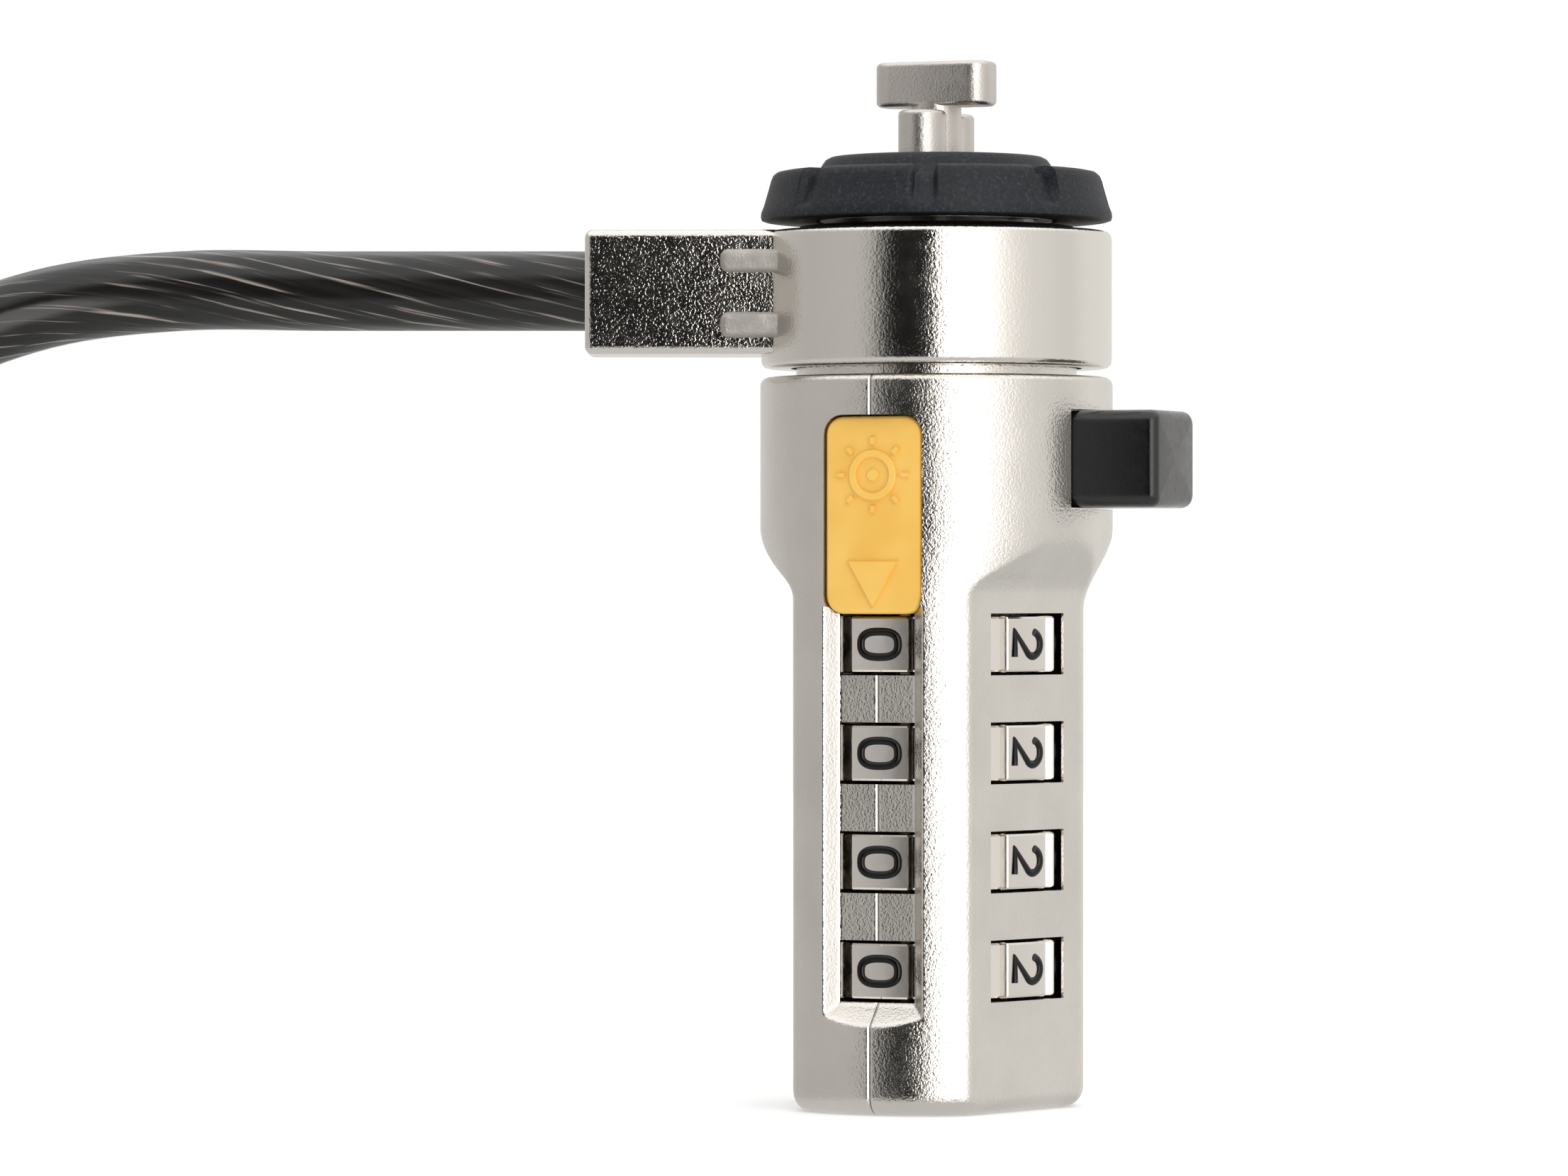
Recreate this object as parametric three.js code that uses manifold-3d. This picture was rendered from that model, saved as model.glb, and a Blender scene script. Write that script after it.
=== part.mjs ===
// Laptop cable lock with a four-wheel combination: millimetres, +Z up.
// The origin lies on the head axis, in the plane that the lock stands on. The T-bar is at the top.
// The cable leaves the swivel ring towards -X. Groups named "tilted" are turned about Z by PARTING,
// so that the front channel and the wheel axis face local -Y.
import * as THREE from "three";
import { mergeVertices } from "three/addons/utils/BufferGeometryUtils.js";
import Module from "manifold-3d";

const wasm = await Module();
wasm.setup();

// Driving dimensions
const GAP = 0.3;
const PARTING = THREE.MathUtils.degToRad(-23);
const HEAD_RADIUS = 9.55;
const BODY_RADIUS = 8.4;
const WHEEL_AXIS_Y = -1.25;
const FACET_ANGLE = THREE.MathUtils.degToRad(72);
const FACET_DISTANCE = 6.93;
const BODY_TOP = 39.4;
const NECK_RADIUS = 7.6;
const NECK_TOP = 47.57;
const BLEND_FROM = 26.8;
const BLEND_TO = 31.2;

const CHANNEL_FLOOR = 8.45;
const CHANNEL_HALF_WIDTH = 2.15;
const CHANNEL_LIP_HALF_WIDTH = 2.82;
const CHANNEL_BOTTOM = 5.35;
const CHANNEL_TOP = 37.4;

const WHEEL_CENTRES = [25.0, 19.2, 13.4, 7.6];
const WHEEL_APOTHEM = 6.9;
const WHEEL_FLAT_HALF = 1.64;
const WHEEL_HALF = 1.5;
const WHEEL_BORE = 4.6;
const POCKET_RADIUS = 7.45;
const POCKET_HALF = 1.65;
const FACET_WINDOW_HALF = 3.08;

const SPINDLE_RADIUS = 1.6;
const SPINDLE_STROKE = 3.2;
const FIN_REACH = 2.8;
const FIN_HALF_WIDTH = 0.7;
const FIN_HEIGHT = 1.2;
const GATE_HALF = 0.7;
const LUG_TOP = 34.4;
const CHAMBER_RADIUS = 7.0;
const CHAMBER_FROM = 30.6;
const CHAMBER_TO = 38.4;

const SHAFT_RADIUS = 2.2;
const STEM_RADIUS = 1.35;
const T_BAR = { length: 6.6, width: 2.7, from: 54.1, to: 56.5 };
const HUB = { radius: 6.6, from: 35.0, to: 38.0 };
const KNOB = { inner: 7.4, outer: 13.8, halfWidth: 3.1, from: 32.3, to: 37.5 };
const ARM = { inner: 5.3, outer: 11.5, halfWidth: 1.5, from: 33.6, to: 36.2 };

const RING = { bore: 7.9, radius: 9.5, from: 39.9, to: 47.3 };
const SOCKET = { end: -19.0, halfWidth: 3.5, from: 40.6 };
const CABLE_HEIGHT = 44.1;
const CABLE_RADIUS = 2.2;

const WASHER = { from: 47.87, lobeTop: 50.5, top: 51.2, hole: 3.7, recess: 6.6, recessTop: 49.6 };

// The coil of spare cable: four flat layers, wound about its own centre
const COIL = { x: -116, y: 20, inner: 22, outer: 32, layers: 4 };
const COIL_TOP = 2 * CABLE_RADIUS * COIL.layers;

// The cable's route outside the coil, point by point
const LEAD_ROUTE = [
  [-17, 0, 44.1],
  [-25, 0, 44.1],
  [-33, 0, 44.1],
  [-41, 0, 44.1],
  [-48.5, -0.3, 43.1],
  [-55.5, -1.2, 40.3],
  [-61.6, -2.6, 35.9],
  [-66.4, -4.2, 30],
  [-69.6, -6, 23.1],
  [-72.8, -7.8, 16.3],
  [-77.6, -9.4, 10.4],
  [-83.7, -10.8, 6],
  [-90.7, -11.7, 3.2],
  [-98.2, -12, 2.2],
];

const NICKEL = { color: 0xb9b3a8, metalness: 0.9, roughness: 0.38 };
const DARK_NICKEL = { color: 0x8d857a, metalness: 0.9, roughness: 0.5 };
const WHEEL_NICKEL = { color: 0xc4beb4, metalness: 1, roughness: 0.25 };
const STEEL = { color: 0x9ea2a6, metalness: 1, roughness: 0.35 };
const BRASS = { color: 0xb08d4a, metalness: 1, roughness: 0.4 };
const BLACK_PLASTIC = { color: 0x141414, metalness: 0, roughness: 0.25 };
const YELLOW_PLASTIC = { color: 0xf3b93a, metalness: 0, roughness: 0.5 };
const RUBBER = { color: 0x1d2026, metalness: 0, roughness: 0.8 };
const JACKET = { color: 0x2c2b2a, metalness: 0, roughness: 0.2 };

// Geometry helpers

function solid(geometry) {
  const bare = new THREE.BufferGeometry();
  const flat = geometry.index ? geometry.toNonIndexed() : geometry;
  bare.setAttribute("position", flat.getAttribute("position"));
  const merged = mergeVertices(bare, 1e-4);
  return new wasm.Manifold(
    new wasm.Mesh({
      numProp: 3,
      vertProperties: merged.attributes.position.array,
      triVerts: new Uint32Array(merged.index.array),
    }),
  );
}

function geometryOf(body) {
  const mesh = body.getMesh();
  const geometry = new THREE.BufferGeometry();
  geometry.setAttribute("position", new THREE.BufferAttribute(mesh.vertProperties, 3));
  geometry.setIndex(new THREE.BufferAttribute(mesh.triVerts, 1));
  geometry.computeVertexNormals();
  return geometry;
}

const join = (...bodies) => bodies.reduce((all, next) => all.add(next));
const cut = (body, ...tools) => tools.reduce((rest, tool) => rest.subtract(tool), body);

function box(x0, x1, y0, y1, z0, z1) {
  const geometry = new THREE.BoxGeometry(x1 - x0, y1 - y0, z1 - z0);
  geometry.translate((x0 + x1) / 2, (y0 + y1) / 2, (z0 + z1) / 2);
  return solid(geometry);
}

function rodZ(radius, z0, z1, x = 0, y = 0, sides = 32) {
  const geometry = new THREE.CylinderGeometry(radius, radius, z1 - z0, sides);
  geometry.rotateX(Math.PI / 2);
  geometry.translate(x, y, (z0 + z1) / 2);
  return solid(geometry);
}

function rodX(radius, x0, x1, y, z, sides = 16) {
  const geometry = new THREE.CylinderGeometry(radius, radius, x1 - x0, sides);
  geometry.rotateZ(Math.PI / 2);
  geometry.translate((x0 + x1) / 2, y, z);
  return solid(geometry);
}

// A turned solid about Z; the profile's [radius, z] points run counter-clockwise
function turned(profile, sides = 48) {
  const points = profile.map(([r, z]) => new THREE.Vector2(r, z));
  const geometry = new THREE.LatheGeometry(points, sides);
  geometry.rotateX(Math.PI / 2);
  return solid(geometry);
}

function prismZ(outline, z0, z1) {
  const shape = outline.isShape ? outline : new THREE.Shape(outline.map(([x, y]) => new THREE.Vector2(x, y)));
  const geometry = new THREE.ExtrudeGeometry(shape, { depth: z1 - z0, bevelEnabled: false, curveSegments: 8 });
  geometry.translate(0, 0, z0);
  return solid(geometry);
}

function tube(points, radius, sides, steps) {
  const path = new THREE.CatmullRomCurve3(points, false, "catmullrom", 0.5);
  const shape = new THREE.Shape();
  for (let i = 0; i < sides; i++) {
    const angle = (2 * Math.PI * i) / sides;
    shape[i ? "lineTo" : "moveTo"](radius * Math.cos(angle), radius * Math.sin(angle));
  }
  shape.closePath();
  const geometry = new THREE.ExtrudeGeometry(shape, { extrudePath: path, steps, bevelEnabled: false });
  return solid(geometry);
}

function helix(radius, wire, z0, z1, turns, x = 0, y = 0, sides = 6) {
  const stepsPerTurn = 10;
  const count = Math.round(turns * stepsPerTurn);
  const points = [];
  for (let i = 0; i <= count; i++) {
    const angle = (2 * Math.PI * i) / stepsPerTurn;
    const z = z0 + wire + ((z1 - z0 - 2 * wire) * i) / count;
    points.push(new THREE.Vector3(x + radius * Math.cos(angle), y + radius * Math.sin(angle), z));
  }
  return tube(points, wire, sides, count);
}

// Distance from the head axis to the lower body's outline in local direction (dx, dy)
function lowerOutline(dx, dy) {
  const along = dy * WHEEL_AXIS_Y;
  let distance = along + Math.sqrt(along * along - WHEEL_AXIS_Y ** 2 + BODY_RADIUS ** 2);
  for (const side of [-1, 1]) {
    const nx = side * Math.sin(FACET_ANGLE);
    const ny = -Math.cos(FACET_ANGLE);
    const facing = dx * nx + dy * ny;
    if (facing > 0) distance = Math.min(distance, (FACET_DISTANCE + WHEEL_AXIS_Y * ny) / facing);
  }
  return distance;
}

// The casing's outside: a faceted lower body that swells into a round head
function casingOutside() {
  const levels = [
    [0, -1.1],
    [1.1, 0],
    [BLEND_FROM, 0],
    [28.2, 0],
    [29.8, 0],
    [BLEND_TO, 0],
    [BODY_TOP - 0.8, 0],
    [BODY_TOP - 0.25, -0.25],
    [BODY_TOP, -0.8],
  ];
  const profile = levels.map(([z]) => new THREE.Vector2(1, z));
  profile.unshift(new THREE.Vector2(0, levels[0][0]));
  profile.push(new THREE.Vector2(0, BODY_TOP));
  const geometry = new THREE.LatheGeometry(profile, 60);
  geometry.rotateX(Math.PI / 2);
  const position = geometry.getAttribute("position");
  for (let i = 0; i < position.count; i++) {
    const length = Math.hypot(position.getX(i), position.getY(i));
    if (length < 0.5) continue;
    const dx = position.getX(i) / length;
    const dy = position.getY(i) / length;
    const z = position.getZ(i);
    const inset = levels.find(([level]) => Math.abs(level - z) < 1e-3)[1];
    const share = THREE.MathUtils.smoothstep(z, BLEND_FROM, BLEND_TO);
    const radius = THREE.MathUtils.lerp(lowerOutline(dx, dy), HEAD_RADIUS, share) + inset;
    position.setXY(i, radius * dx, radius * dy);
  }
  return solid(geometry);
}

// Moves a solid made about the facet's normal (local +X) to one of the two facets
function onFacet(body, side) {
  const angle = THREE.MathUtils.radToDeg(FACET_ANGLE) - 90;
  return body.rotate([0, 0, side > 0 ? angle : 180 - angle]).translate([0, WHEEL_AXIS_Y, 0]);
}

// Room for the lever between its two limits, seen from the head axis
function leverSlot() {
  const half = KNOB.halfWidth + GAP;
  const outline = [];
  const steps = 12;
  for (let i = 0; i <= steps; i++) {
    const angle = (Math.PI / 2) * (i / steps);
    outline.push([12 * Math.cos(angle), 12 * Math.sin(angle)]);
  }
  outline.push([-half, 12], [-half, 5.5], [0, 0], [5.5, -half], [12, -half]);
  return prismZ(outline, KNOB.from - GAP, KNOB.to + GAP);
}

const DOWEL_HEIGHTS = [22.1, 16.3, 10.5];
const DOWEL_Y = 3.95;
const SCREW_X = 4.9;
const BALL_X = -5.3;
const RESET_HEIGHT = 3.1;

// The hollow casing before it is parted into two shells
function casing() {
  let body = join(casingOutside(), rodZ(NECK_RADIUS, BODY_TOP - 1, NECK_TOP, 0, 0, 48));
  const lip = CHANNEL_LIP_HALF_WIDTH + 2;
  const mouth = CHANNEL_FLOOR + (lip - CHANNEL_HALF_WIDTH);
  const channel = [
    [-CHANNEL_HALF_WIDTH, -CHANNEL_FLOOR],
    [-lip, -mouth],
    [lip, -mouth],
    [CHANNEL_HALF_WIDTH, -CHANNEL_FLOOR],
  ];
  body = cut(body, prismZ(channel, CHANNEL_BOTTOM, CHANNEL_TOP - 0.2));
  body = cut(body, box(-3, 3, -12, -7.9, 26.35, CHANNEL_TOP));
  for (const z of WHEEL_CENTRES) {
    const window = box(-CHANNEL_HALF_WIDTH, CHANNEL_HALF_WIDTH, -12, -5, z - POCKET_HALF, z + POCKET_HALF);
    const side = box(5, 12, -FACET_WINDOW_HALF, FACET_WINDOW_HALF, z - POCKET_HALF, z + POCKET_HALF);
    body = cut(body, rodZ(POCKET_RADIUS, z - POCKET_HALF, z + POCKET_HALF, 0, WHEEL_AXIS_Y, 32));
    body = cut(body, window, onFacet(side, 1), onFacet(side, -1));
    body = cut(body, rodZ(0.95, z - POCKET_HALF - 2, z - POCKET_HALF + 0.1, BALL_X, WHEEL_AXIS_Y, 8));
  }
  body = cut(body, rodZ(SPINDLE_RADIUS + GAP, 1.4, 28.3, 0, WHEEL_AXIS_Y, 20));
  body = cut(body, box(-1, 1, WHEEL_AXIS_Y, WHEEL_AXIS_Y + FIN_REACH + GAP, 5.1, 27.5));
  body = cut(body, rodZ(3.3, 28.2, CHAMBER_FROM + 0.1, 0, WHEEL_AXIS_Y));
  body = cut(body, box(-1.1, 1.1, WHEEL_AXIS_Y, 4.9, 29.6, CHAMBER_FROM + 0.1));
  body = cut(body, rodZ(CHAMBER_RADIUS, CHAMBER_FROM, CHAMBER_TO, 0, 0, 32));
  body = cut(body, rodZ(SHAFT_RADIUS + GAP, CHAMBER_TO - 0.1, NECK_TOP + 1));
  body = cut(body, rodZ(4.8, -1, 1.5, 0, WHEEL_AXIS_Y));
  body = cut(body, leverSlot());
  for (const z of DOWEL_HEIGHTS) body = cut(body, rodX(1.05, -4.3, 4.3, DOWEL_Y, z, 12));
  for (const x of [-SCREW_X, SCREW_X]) body = cut(body, rodZ(1.0, 42.7, NECK_TOP + 1, x, 0, 12));
  const resetHole = rodX(0.9, 2.6, 12, 0, RESET_HEIGHT, 12);
  return cut(body, onFacet(resetHole, -1));
}

function shell(whole, side) {
  const seam = 0.1;
  const half = side > 0 ? box(seam, 20, -20, 20, -1, 60) : box(-20, -seam, -20, 20, -1, 60);
  return whole.intersect(half);
}

function markerInsert() {
  const shape = new THREE.Shape();
  const half = 2.72;
  const corner = 1.0;
  const bottom = 26.65;
  const top = 37.1;
  shape.moveTo(-half, bottom);
  shape.lineTo(half, bottom);
  shape.lineTo(half, top - corner);
  shape.absarc(half - corner, top - corner, corner, 0, Math.PI / 2);
  shape.absarc(-half + corner, top - corner, corner, Math.PI / 2, Math.PI);
  shape.closePath();
  const plate = new THREE.ExtrudeGeometry(shape, { depth: 0.85, bevelEnabled: false, curveSegments: 5 });
  plate.rotateX(Math.PI / 2);
  plate.translate(0, -8.2, 0);
  return solid(plate);
}

function wheel(z) {
  const outline = [];
  const flatRadius = Math.hypot(WHEEL_APOTHEM, WHEEL_FLAT_HALF);
  const flatAngle = Math.atan2(WHEEL_FLAT_HALF, WHEEL_APOTHEM);
  const grooveRadius = 6.65;
  const grooveAngle = THREE.MathUtils.degToRad(15.5);
  for (let digit = 0; digit < 10; digit++) {
    const middle = (digit * Math.PI) / 5 - Math.PI / 2;
    for (const [radius, angle] of [
      [grooveRadius, -grooveAngle],
      [flatRadius, -flatAngle],
      [flatRadius, flatAngle],
      [grooveRadius, grooveAngle],
    ])
      outline.push([radius * Math.cos(middle + angle), radius * Math.sin(middle + angle)]);
  }
  const keyways = box(-5.2, 5.2, -0.9, 0.9, -3, 3);
  const body = cut(prismZ(outline, -WHEEL_HALF, WHEEL_HALF), rodZ(WHEEL_BORE, -3, 3), keyways);
  return body.translate([0, WHEEL_AXIS_Y, z]);
}

// A wheel's sleeve: two keys outside, and inside a web whose gate lets one fin through
function codeSleeve(z) {
  const outer = WHEEL_BORE - GAP;
  const chamber = FIN_REACH + GAP;
  const ring = turned([
    [SPINDLE_RADIUS + GAP, -GATE_HALF],
    [chamber, -GATE_HALF],
    [chamber, -WHEEL_HALF],
    [outer, -WHEEL_HALF],
    [outer, WHEEL_HALF],
    [chamber, WHEEL_HALF],
    [chamber, GATE_HALF],
    [SPINDLE_RADIUS + GAP, GATE_HALF],
    [SPINDLE_RADIUS + GAP, -GATE_HALF],
  ], 20);
  const keys = join(
    box(outer - 0.3, 4.9, -0.6, 0.6, -WHEEL_HALF, WHEEL_HALF),
    box(-4.9, -outer + 0.3, -0.6, 0.6, -WHEEL_HALF, WHEEL_HALF),
  );
  const gate = box(-1, 1, 1, chamber, -1, 1);
  return cut(join(ring, keys), gate).translate([0, WHEEL_AXIS_Y, z]);
}

function spindle() {
  let body = join(
    rodZ(SPINDLE_RADIUS, 4.9, LUG_TOP - 0.4, 0, WHEEL_AXIS_Y, 24),
    rodZ(2.4, LUG_TOP - 1.2, LUG_TOP, 0, WHEEL_AXIS_Y, 24),
    box(-0.8, 0.8, WHEEL_AXIS_Y, 4.6, LUG_TOP - 1.2, LUG_TOP),
  );
  for (const z of WHEEL_CENTRES) {
    const from = z + GATE_HALF + GAP;
    const reach = WHEEL_AXIS_Y + FIN_REACH;
    body = join(body, box(-FIN_HALF_WIDTH, FIN_HALF_WIDTH, WHEEL_AXIS_Y, reach, from, from + FIN_HEIGHT));
  }
  return body;
}

// The ramp under the hub, drawn flat as angle against height and then wrapped about the axis
function ramp() {
  const fall = SPINDLE_STROKE / 90;
  const from = -14;
  const to = 84;
  const shape = new THREE.Shape();
  const height = (angle) => 35.2 - fall * (90 - angle);
  shape.moveTo(from, 35.4);
  const steps = 14;
  for (let i = 0; i <= steps; i++) {
    const angle = from + ((to - from) * i) / steps;
    shape.lineTo(angle, height(angle));
  }
  for (let i = 0; i < steps; i++) shape.lineTo(to - ((to - from) * i) / steps, 35.4);
  const geometry = new THREE.ExtrudeGeometry(shape, { depth: 1.8, bevelEnabled: false });
  const position = geometry.getAttribute("position");
  for (let i = 0; i < position.count; i++) {
    const angle = THREE.MathUtils.degToRad(position.getX(i));
    const radius = 3.2 + position.getZ(i);
    const z = position.getY(i);
    position.setXYZ(i, radius * Math.cos(angle), radius * Math.sin(angle), z);
  }
  return solid(geometry);
}

function camHub() {
  const disc = rodZ(HUB.radius, HUB.from, HUB.to, 0, 0, 40);
  const arm = box(ARM.inner, ARM.outer, -ARM.halfWidth, ARM.halfWidth, ARM.from, ARM.to);
  const bore = rodZ(SHAFT_RADIUS + GAP, HUB.from - 1, HUB.to + 1);
  const pinHole = rodX(0.8, -4.4, 4.4, 0, 36.6, 12);
  return cut(join(disc, ramp(), arm), bore, pinHole);
}

function roundedBar(length, width, corner) {
  const shape = new THREE.Shape();
  const x = length / 2 - corner;
  const y = width / 2 - corner;
  shape.absarc(x, y, corner, 0, Math.PI / 2);
  shape.absarc(-x, y, corner, Math.PI / 2, Math.PI);
  shape.absarc(-x, -y, corner, Math.PI, 1.5 * Math.PI);
  shape.absarc(x, -y, corner, 1.5 * Math.PI, 2 * Math.PI);
  return shape;
}

function tBar() {
  const edge = 0.3;
  const shape = roundedBar(T_BAR.length - 2 * edge, T_BAR.width - 2 * edge, 1.0);
  const head = new THREE.ExtrudeGeometry(shape, {
    depth: T_BAR.to - T_BAR.from - 2 * edge,
    bevelSize: edge,
    bevelThickness: edge,
    bevelSegments: 1,
    curveSegments: 3,
  });
  head.translate(0, 0, T_BAR.from + edge);
  const shaft = turned([
    [0, HUB.from + 0.2],
    [SHAFT_RADIUS, HUB.from + 0.2],
    [SHAFT_RADIUS, NECK_TOP],
    [STEM_RADIUS, NECK_TOP],
    [STEM_RADIUS, T_BAR.from + 0.5],
    [0, T_BAR.from + 0.5],
  ], 24);
  return cut(join(shaft, solid(head)), rodX(0.8, -4.4, 4.4, 0, 36.6, 12));
}

function leverKnob() {
  const { inner, outer, halfWidth, from, to } = KNOB;
  const edge = 0.6;
  const shape = new THREE.Shape();
  shape.moveTo(inner, -halfWidth + edge);
  shape.lineTo(outer - edge, -halfWidth + edge);
  shape.lineTo(outer - edge, halfWidth - edge);
  shape.lineTo(inner, halfWidth - edge);
  const geometry = new THREE.ExtrudeGeometry(shape, {
    depth: to - from - 2 * edge,
    bevelSize: edge,
    bevelThickness: edge,
    bevelSegments: 2,
  });
  geometry.translate(0, 0, from + edge);
  const trimmed = solid(geometry).intersect(box(inner, outer, -5, 5, from, to));
  const room = ARM.halfWidth + GAP;
  return cut(trimmed, box(inner - 1, ARM.outer + GAP, -room, room, ARM.from - GAP, ARM.to + GAP));
}

function postPlate() {
  const flange = rodZ(WASHER.recess - GAP, WASHER.from, 49.3, 0, 0, 32);
  const posts = join(rodZ(1.3, 49, 53.8, 0, -2.05, 16), rodZ(1.3, 49, 53.8, 0, 2.05, 16));
  let body = cut(join(flange, posts), rodZ(STEM_RADIUS + GAP, 47, 60));
  for (const x of [-SCREW_X, SCREW_X]) body = cut(body, rodZ(1.0, 47, 50, x, 0, 10), rodZ(1.25, 48.6, 50, x, 0, 10));
  return body;
}

function plateScrew(x) {
  const shank = rodZ(0.7, 43, 48.8, x, 0, 10);
  return join(shank, rodZ(0.95, 48.7, 49.3, x, 0, 10));
}

function washer() {
  const profile = [
    [WASHER.recess, WASHER.from],
    [9.5, WASHER.from],
    [9.4, 49.7],
    [8.9, WASHER.lobeTop],
    [6.4, WASHER.lobeTop],
    [5.6, WASHER.top],
    [WASHER.hole, WASHER.top],
    [WASHER.hole, WASHER.recessTop],
    [WASHER.recess, WASHER.recessTop],
    [WASHER.recess, WASHER.from],
  ];
  let body = turned(profile, 40);
  const lobes = 8;
  for (let i = 0; i < lobes; i++) {
    const notch = box(8.8, 12, -0.55, 0.55, WASHER.lobeTop - 0.45, 52);
    body = cut(body, notch.rotate([0, 0, -93 + (i * 360) / lobes]));
  }
  return body;
}

function swivelRing() {
  const ring = rodZ(RING.radius, RING.from, RING.to, 0, 0, 48);
  const arm = box(SOCKET.end, -4, -SOCKET.halfWidth, SOCKET.halfWidth, SOCKET.from, RING.to);
  let body = join(ring, arm);
  for (const [from, to] of [
    [45.1, 46.1],
    [41.6, 42.7],
  ])
    body = join(body, box(-11.7, -7.2, -SOCKET.halfWidth - 0.5, -SOCKET.halfWidth + 0.5, from, to));
  body = cut(body, rodZ(RING.bore, RING.from - 1, RING.to + 1, 0, 0, 48));
  return cut(body, rodX(CABLE_RADIUS + GAP, SOCKET.end - 1, -9.9, 0, CABLE_HEIGHT, 20));
}

const basePlug = () =>
  cut(
    rodZ(4.5, 0, 1.2, 0, WHEEL_AXIS_Y),
    rodZ(0.5, -1, 0.7, -3, WHEEL_AXIS_Y, 12),
    rodZ(0.5, -1, 0.7, 3, WHEEL_AXIS_Y, 12),
  );

const resetPin = () => onFacet(rodX(0.6, 3.9, 6.2, 0, RESET_HEIGHT, 12), -1);

function detentBall(z) {
  const geometry = new THREE.SphereGeometry(0.6, 8, 5);
  geometry.translate(BALL_X, WHEEL_AXIS_Y, z - WHEEL_HALF - 0.75);
  return solid(geometry);
}

// The cable's free stretches

const vectors = (points) => points.map(([x, y, z]) => new THREE.Vector3(x, y, z));

function coilRing() {
  const inner = COIL.inner - CABLE_RADIUS;
  const outer = COIL.outer + CABLE_RADIUS;
  const ring = turned([
    [inner, 0],
    [outer, 0],
    [outer, COIL_TOP],
    [inner, COIL_TOP],
    [inner, 0],
  ], 48);
  return ring.translate([COIL.x, COIL.y, 0]);
}

// The tail lies across the top of the coil; the crimp sleeve and the eye follow it towards -X
const TAIL_ROUTE = [
  [-86.1, 24.4, 20.1],
  [-87.7, 19.2, 20.1],
  [-90.8, 14.7, 20.1],
  [-95.1, 11.3, 20.2],
  [-100.2, 9.4, 20.5],
  [-105.3, 9, 20.8],
];
const SLEEVE = { from: -118.4, to: -105.6, y: 9, z: 20.9, halfWidth: 5.4, halfHeight: 3.0 };
const EYE_ROUTE = [
  [-118.8, 6.8, 20.9],
  [-122.4, 6.6, 20.9],
  [-127.4, 4.6, 20.7],
  [-133.4, 1, 20.4],
  [-139.9, -2, 20.1],
  [-146.9, -2.2, 20.1],
  [-152.9, 1.8, 20.1],
  [-155.4, 9, 20.1],
  [-152.9, 16.2, 20.1],
  [-146.9, 20.2, 20.1],
  [-139.9, 20, 20.1],
  [-133.4, 17, 20.4],
  [-127.4, 13.4, 20.7],
  [-122.4, 11.4, 20.9],
  [-118.8, 11.2, 20.9],
];

function loopSleeve() {
  const shape = roundedBar(2 * SLEEVE.halfWidth, 2 * SLEEVE.halfHeight, 2.9);
  const length = SLEEVE.to - SLEEVE.from;
  const geometry = new THREE.ExtrudeGeometry(shape, { depth: length, bevelEnabled: false, curveSegments: 6 });
  geometry.rotateY(Math.PI / 2);
  geometry.rotateX(Math.PI / 2);
  geometry.translate(SLEEVE.from, SLEEVE.y, SLEEVE.z);
  return solid(geometry);
}

// The assembly

const group = new THREE.Group();
const tilted = new THREE.Group();
tilted.name = "tilted";
tilted.rotation.z = PARTING;
group.add(tilted);

function place(parent, name, body, look) {
  const mesh = new THREE.Mesh(geometryOf(body), new THREE.MeshStandardMaterial(look));
  mesh.name = name;
  parent.add(mesh);
}

const whole = casing();
place(tilted, "left_shell", shell(whole, -1), NICKEL);
place(tilted, "right_shell", shell(whole, 1), NICKEL);
place(tilted, "marker_insert", markerInsert(), YELLOW_PLASTIC);
place(tilted, "base_plug", basePlug(), NICKEL);
place(tilted, "reset_pin", resetPin(), STEEL);
place(tilted, "post_plate", postPlate(), DARK_NICKEL);
place(tilted, "plate_screw_left", plateScrew(-SCREW_X), STEEL);
place(tilted, "plate_screw_right", plateScrew(SCREW_X), STEEL);
place(group, "washer", washer(), RUBBER);

DOWEL_HEIGHTS.forEach((z, i) => place(tilted, `dowel_pin_${i + 1}`, rodX(0.75, -4, 4, DOWEL_Y, z, 12), STEEL));

WHEEL_CENTRES.forEach((z, i) => {
  const springTop = z - WHEEL_HALF - 1.5;
  place(tilted, `wheel_${i + 1}`, wheel(z), WHEEL_NICKEL);
  place(tilted, `code_sleeve_${i + 1}`, codeSleeve(z), BRASS);
  place(tilted, `detent_ball_${i + 1}`, detentBall(z), STEEL);
  place(
    tilted,
    `detent_spring_${i + 1}`,
    helix(0.45, 0.12, springTop - 0.6, springTop, 1.5, BALL_X, WHEEL_AXIS_Y, 4),
    STEEL,
  );
});

place(tilted, "spindle", spindle(), BRASS);
place(tilted, "spindle_spring", helix(2.4, 0.22, 28.4, 33.0, 3.5, 0, WHEEL_AXIS_Y), STEEL);
place(tilted, "cam_hub", camHub(), BRASS);
place(tilted, "t_bar", tBar(), DARK_NICKEL);
place(tilted, "hub_pin", rodX(0.5, -4.2, 4.2, 0, 36.6, 12), STEEL);
place(tilted, "lever_knob", leverKnob(), BLACK_PLASTIC);

place(group, "swivel_ring", swivelRing(), NICKEL);
place(group, "cable_plug", rodX(CABLE_RADIUS, -16.7, -10.2, 0, CABLE_HEIGHT, 16), STEEL);

const leadPoints = vectors(LEAD_ROUTE);
place(group, "cable_tube", tube(leadPoints, CABLE_RADIUS, 8, 24), JACKET);
place(group, "cable_coil", coilRing(), JACKET);
place(group, "cable_tail", tube(vectors(TAIL_ROUTE), CABLE_RADIUS, 8, 8), JACKET);
place(group, "loop_sleeve", loopSleeve(), STEEL);
place(group, "loop_eye", tube(vectors(EYE_ROUTE), CABLE_RADIUS, 8, 30), JACKET);

export default group;
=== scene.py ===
"""Laptop cable lock: the looks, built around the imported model. Lengths are millimetres until mesh_piece."""

import math

import bpy
import numpy as np
from mathutils import Matrix, Vector


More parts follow.
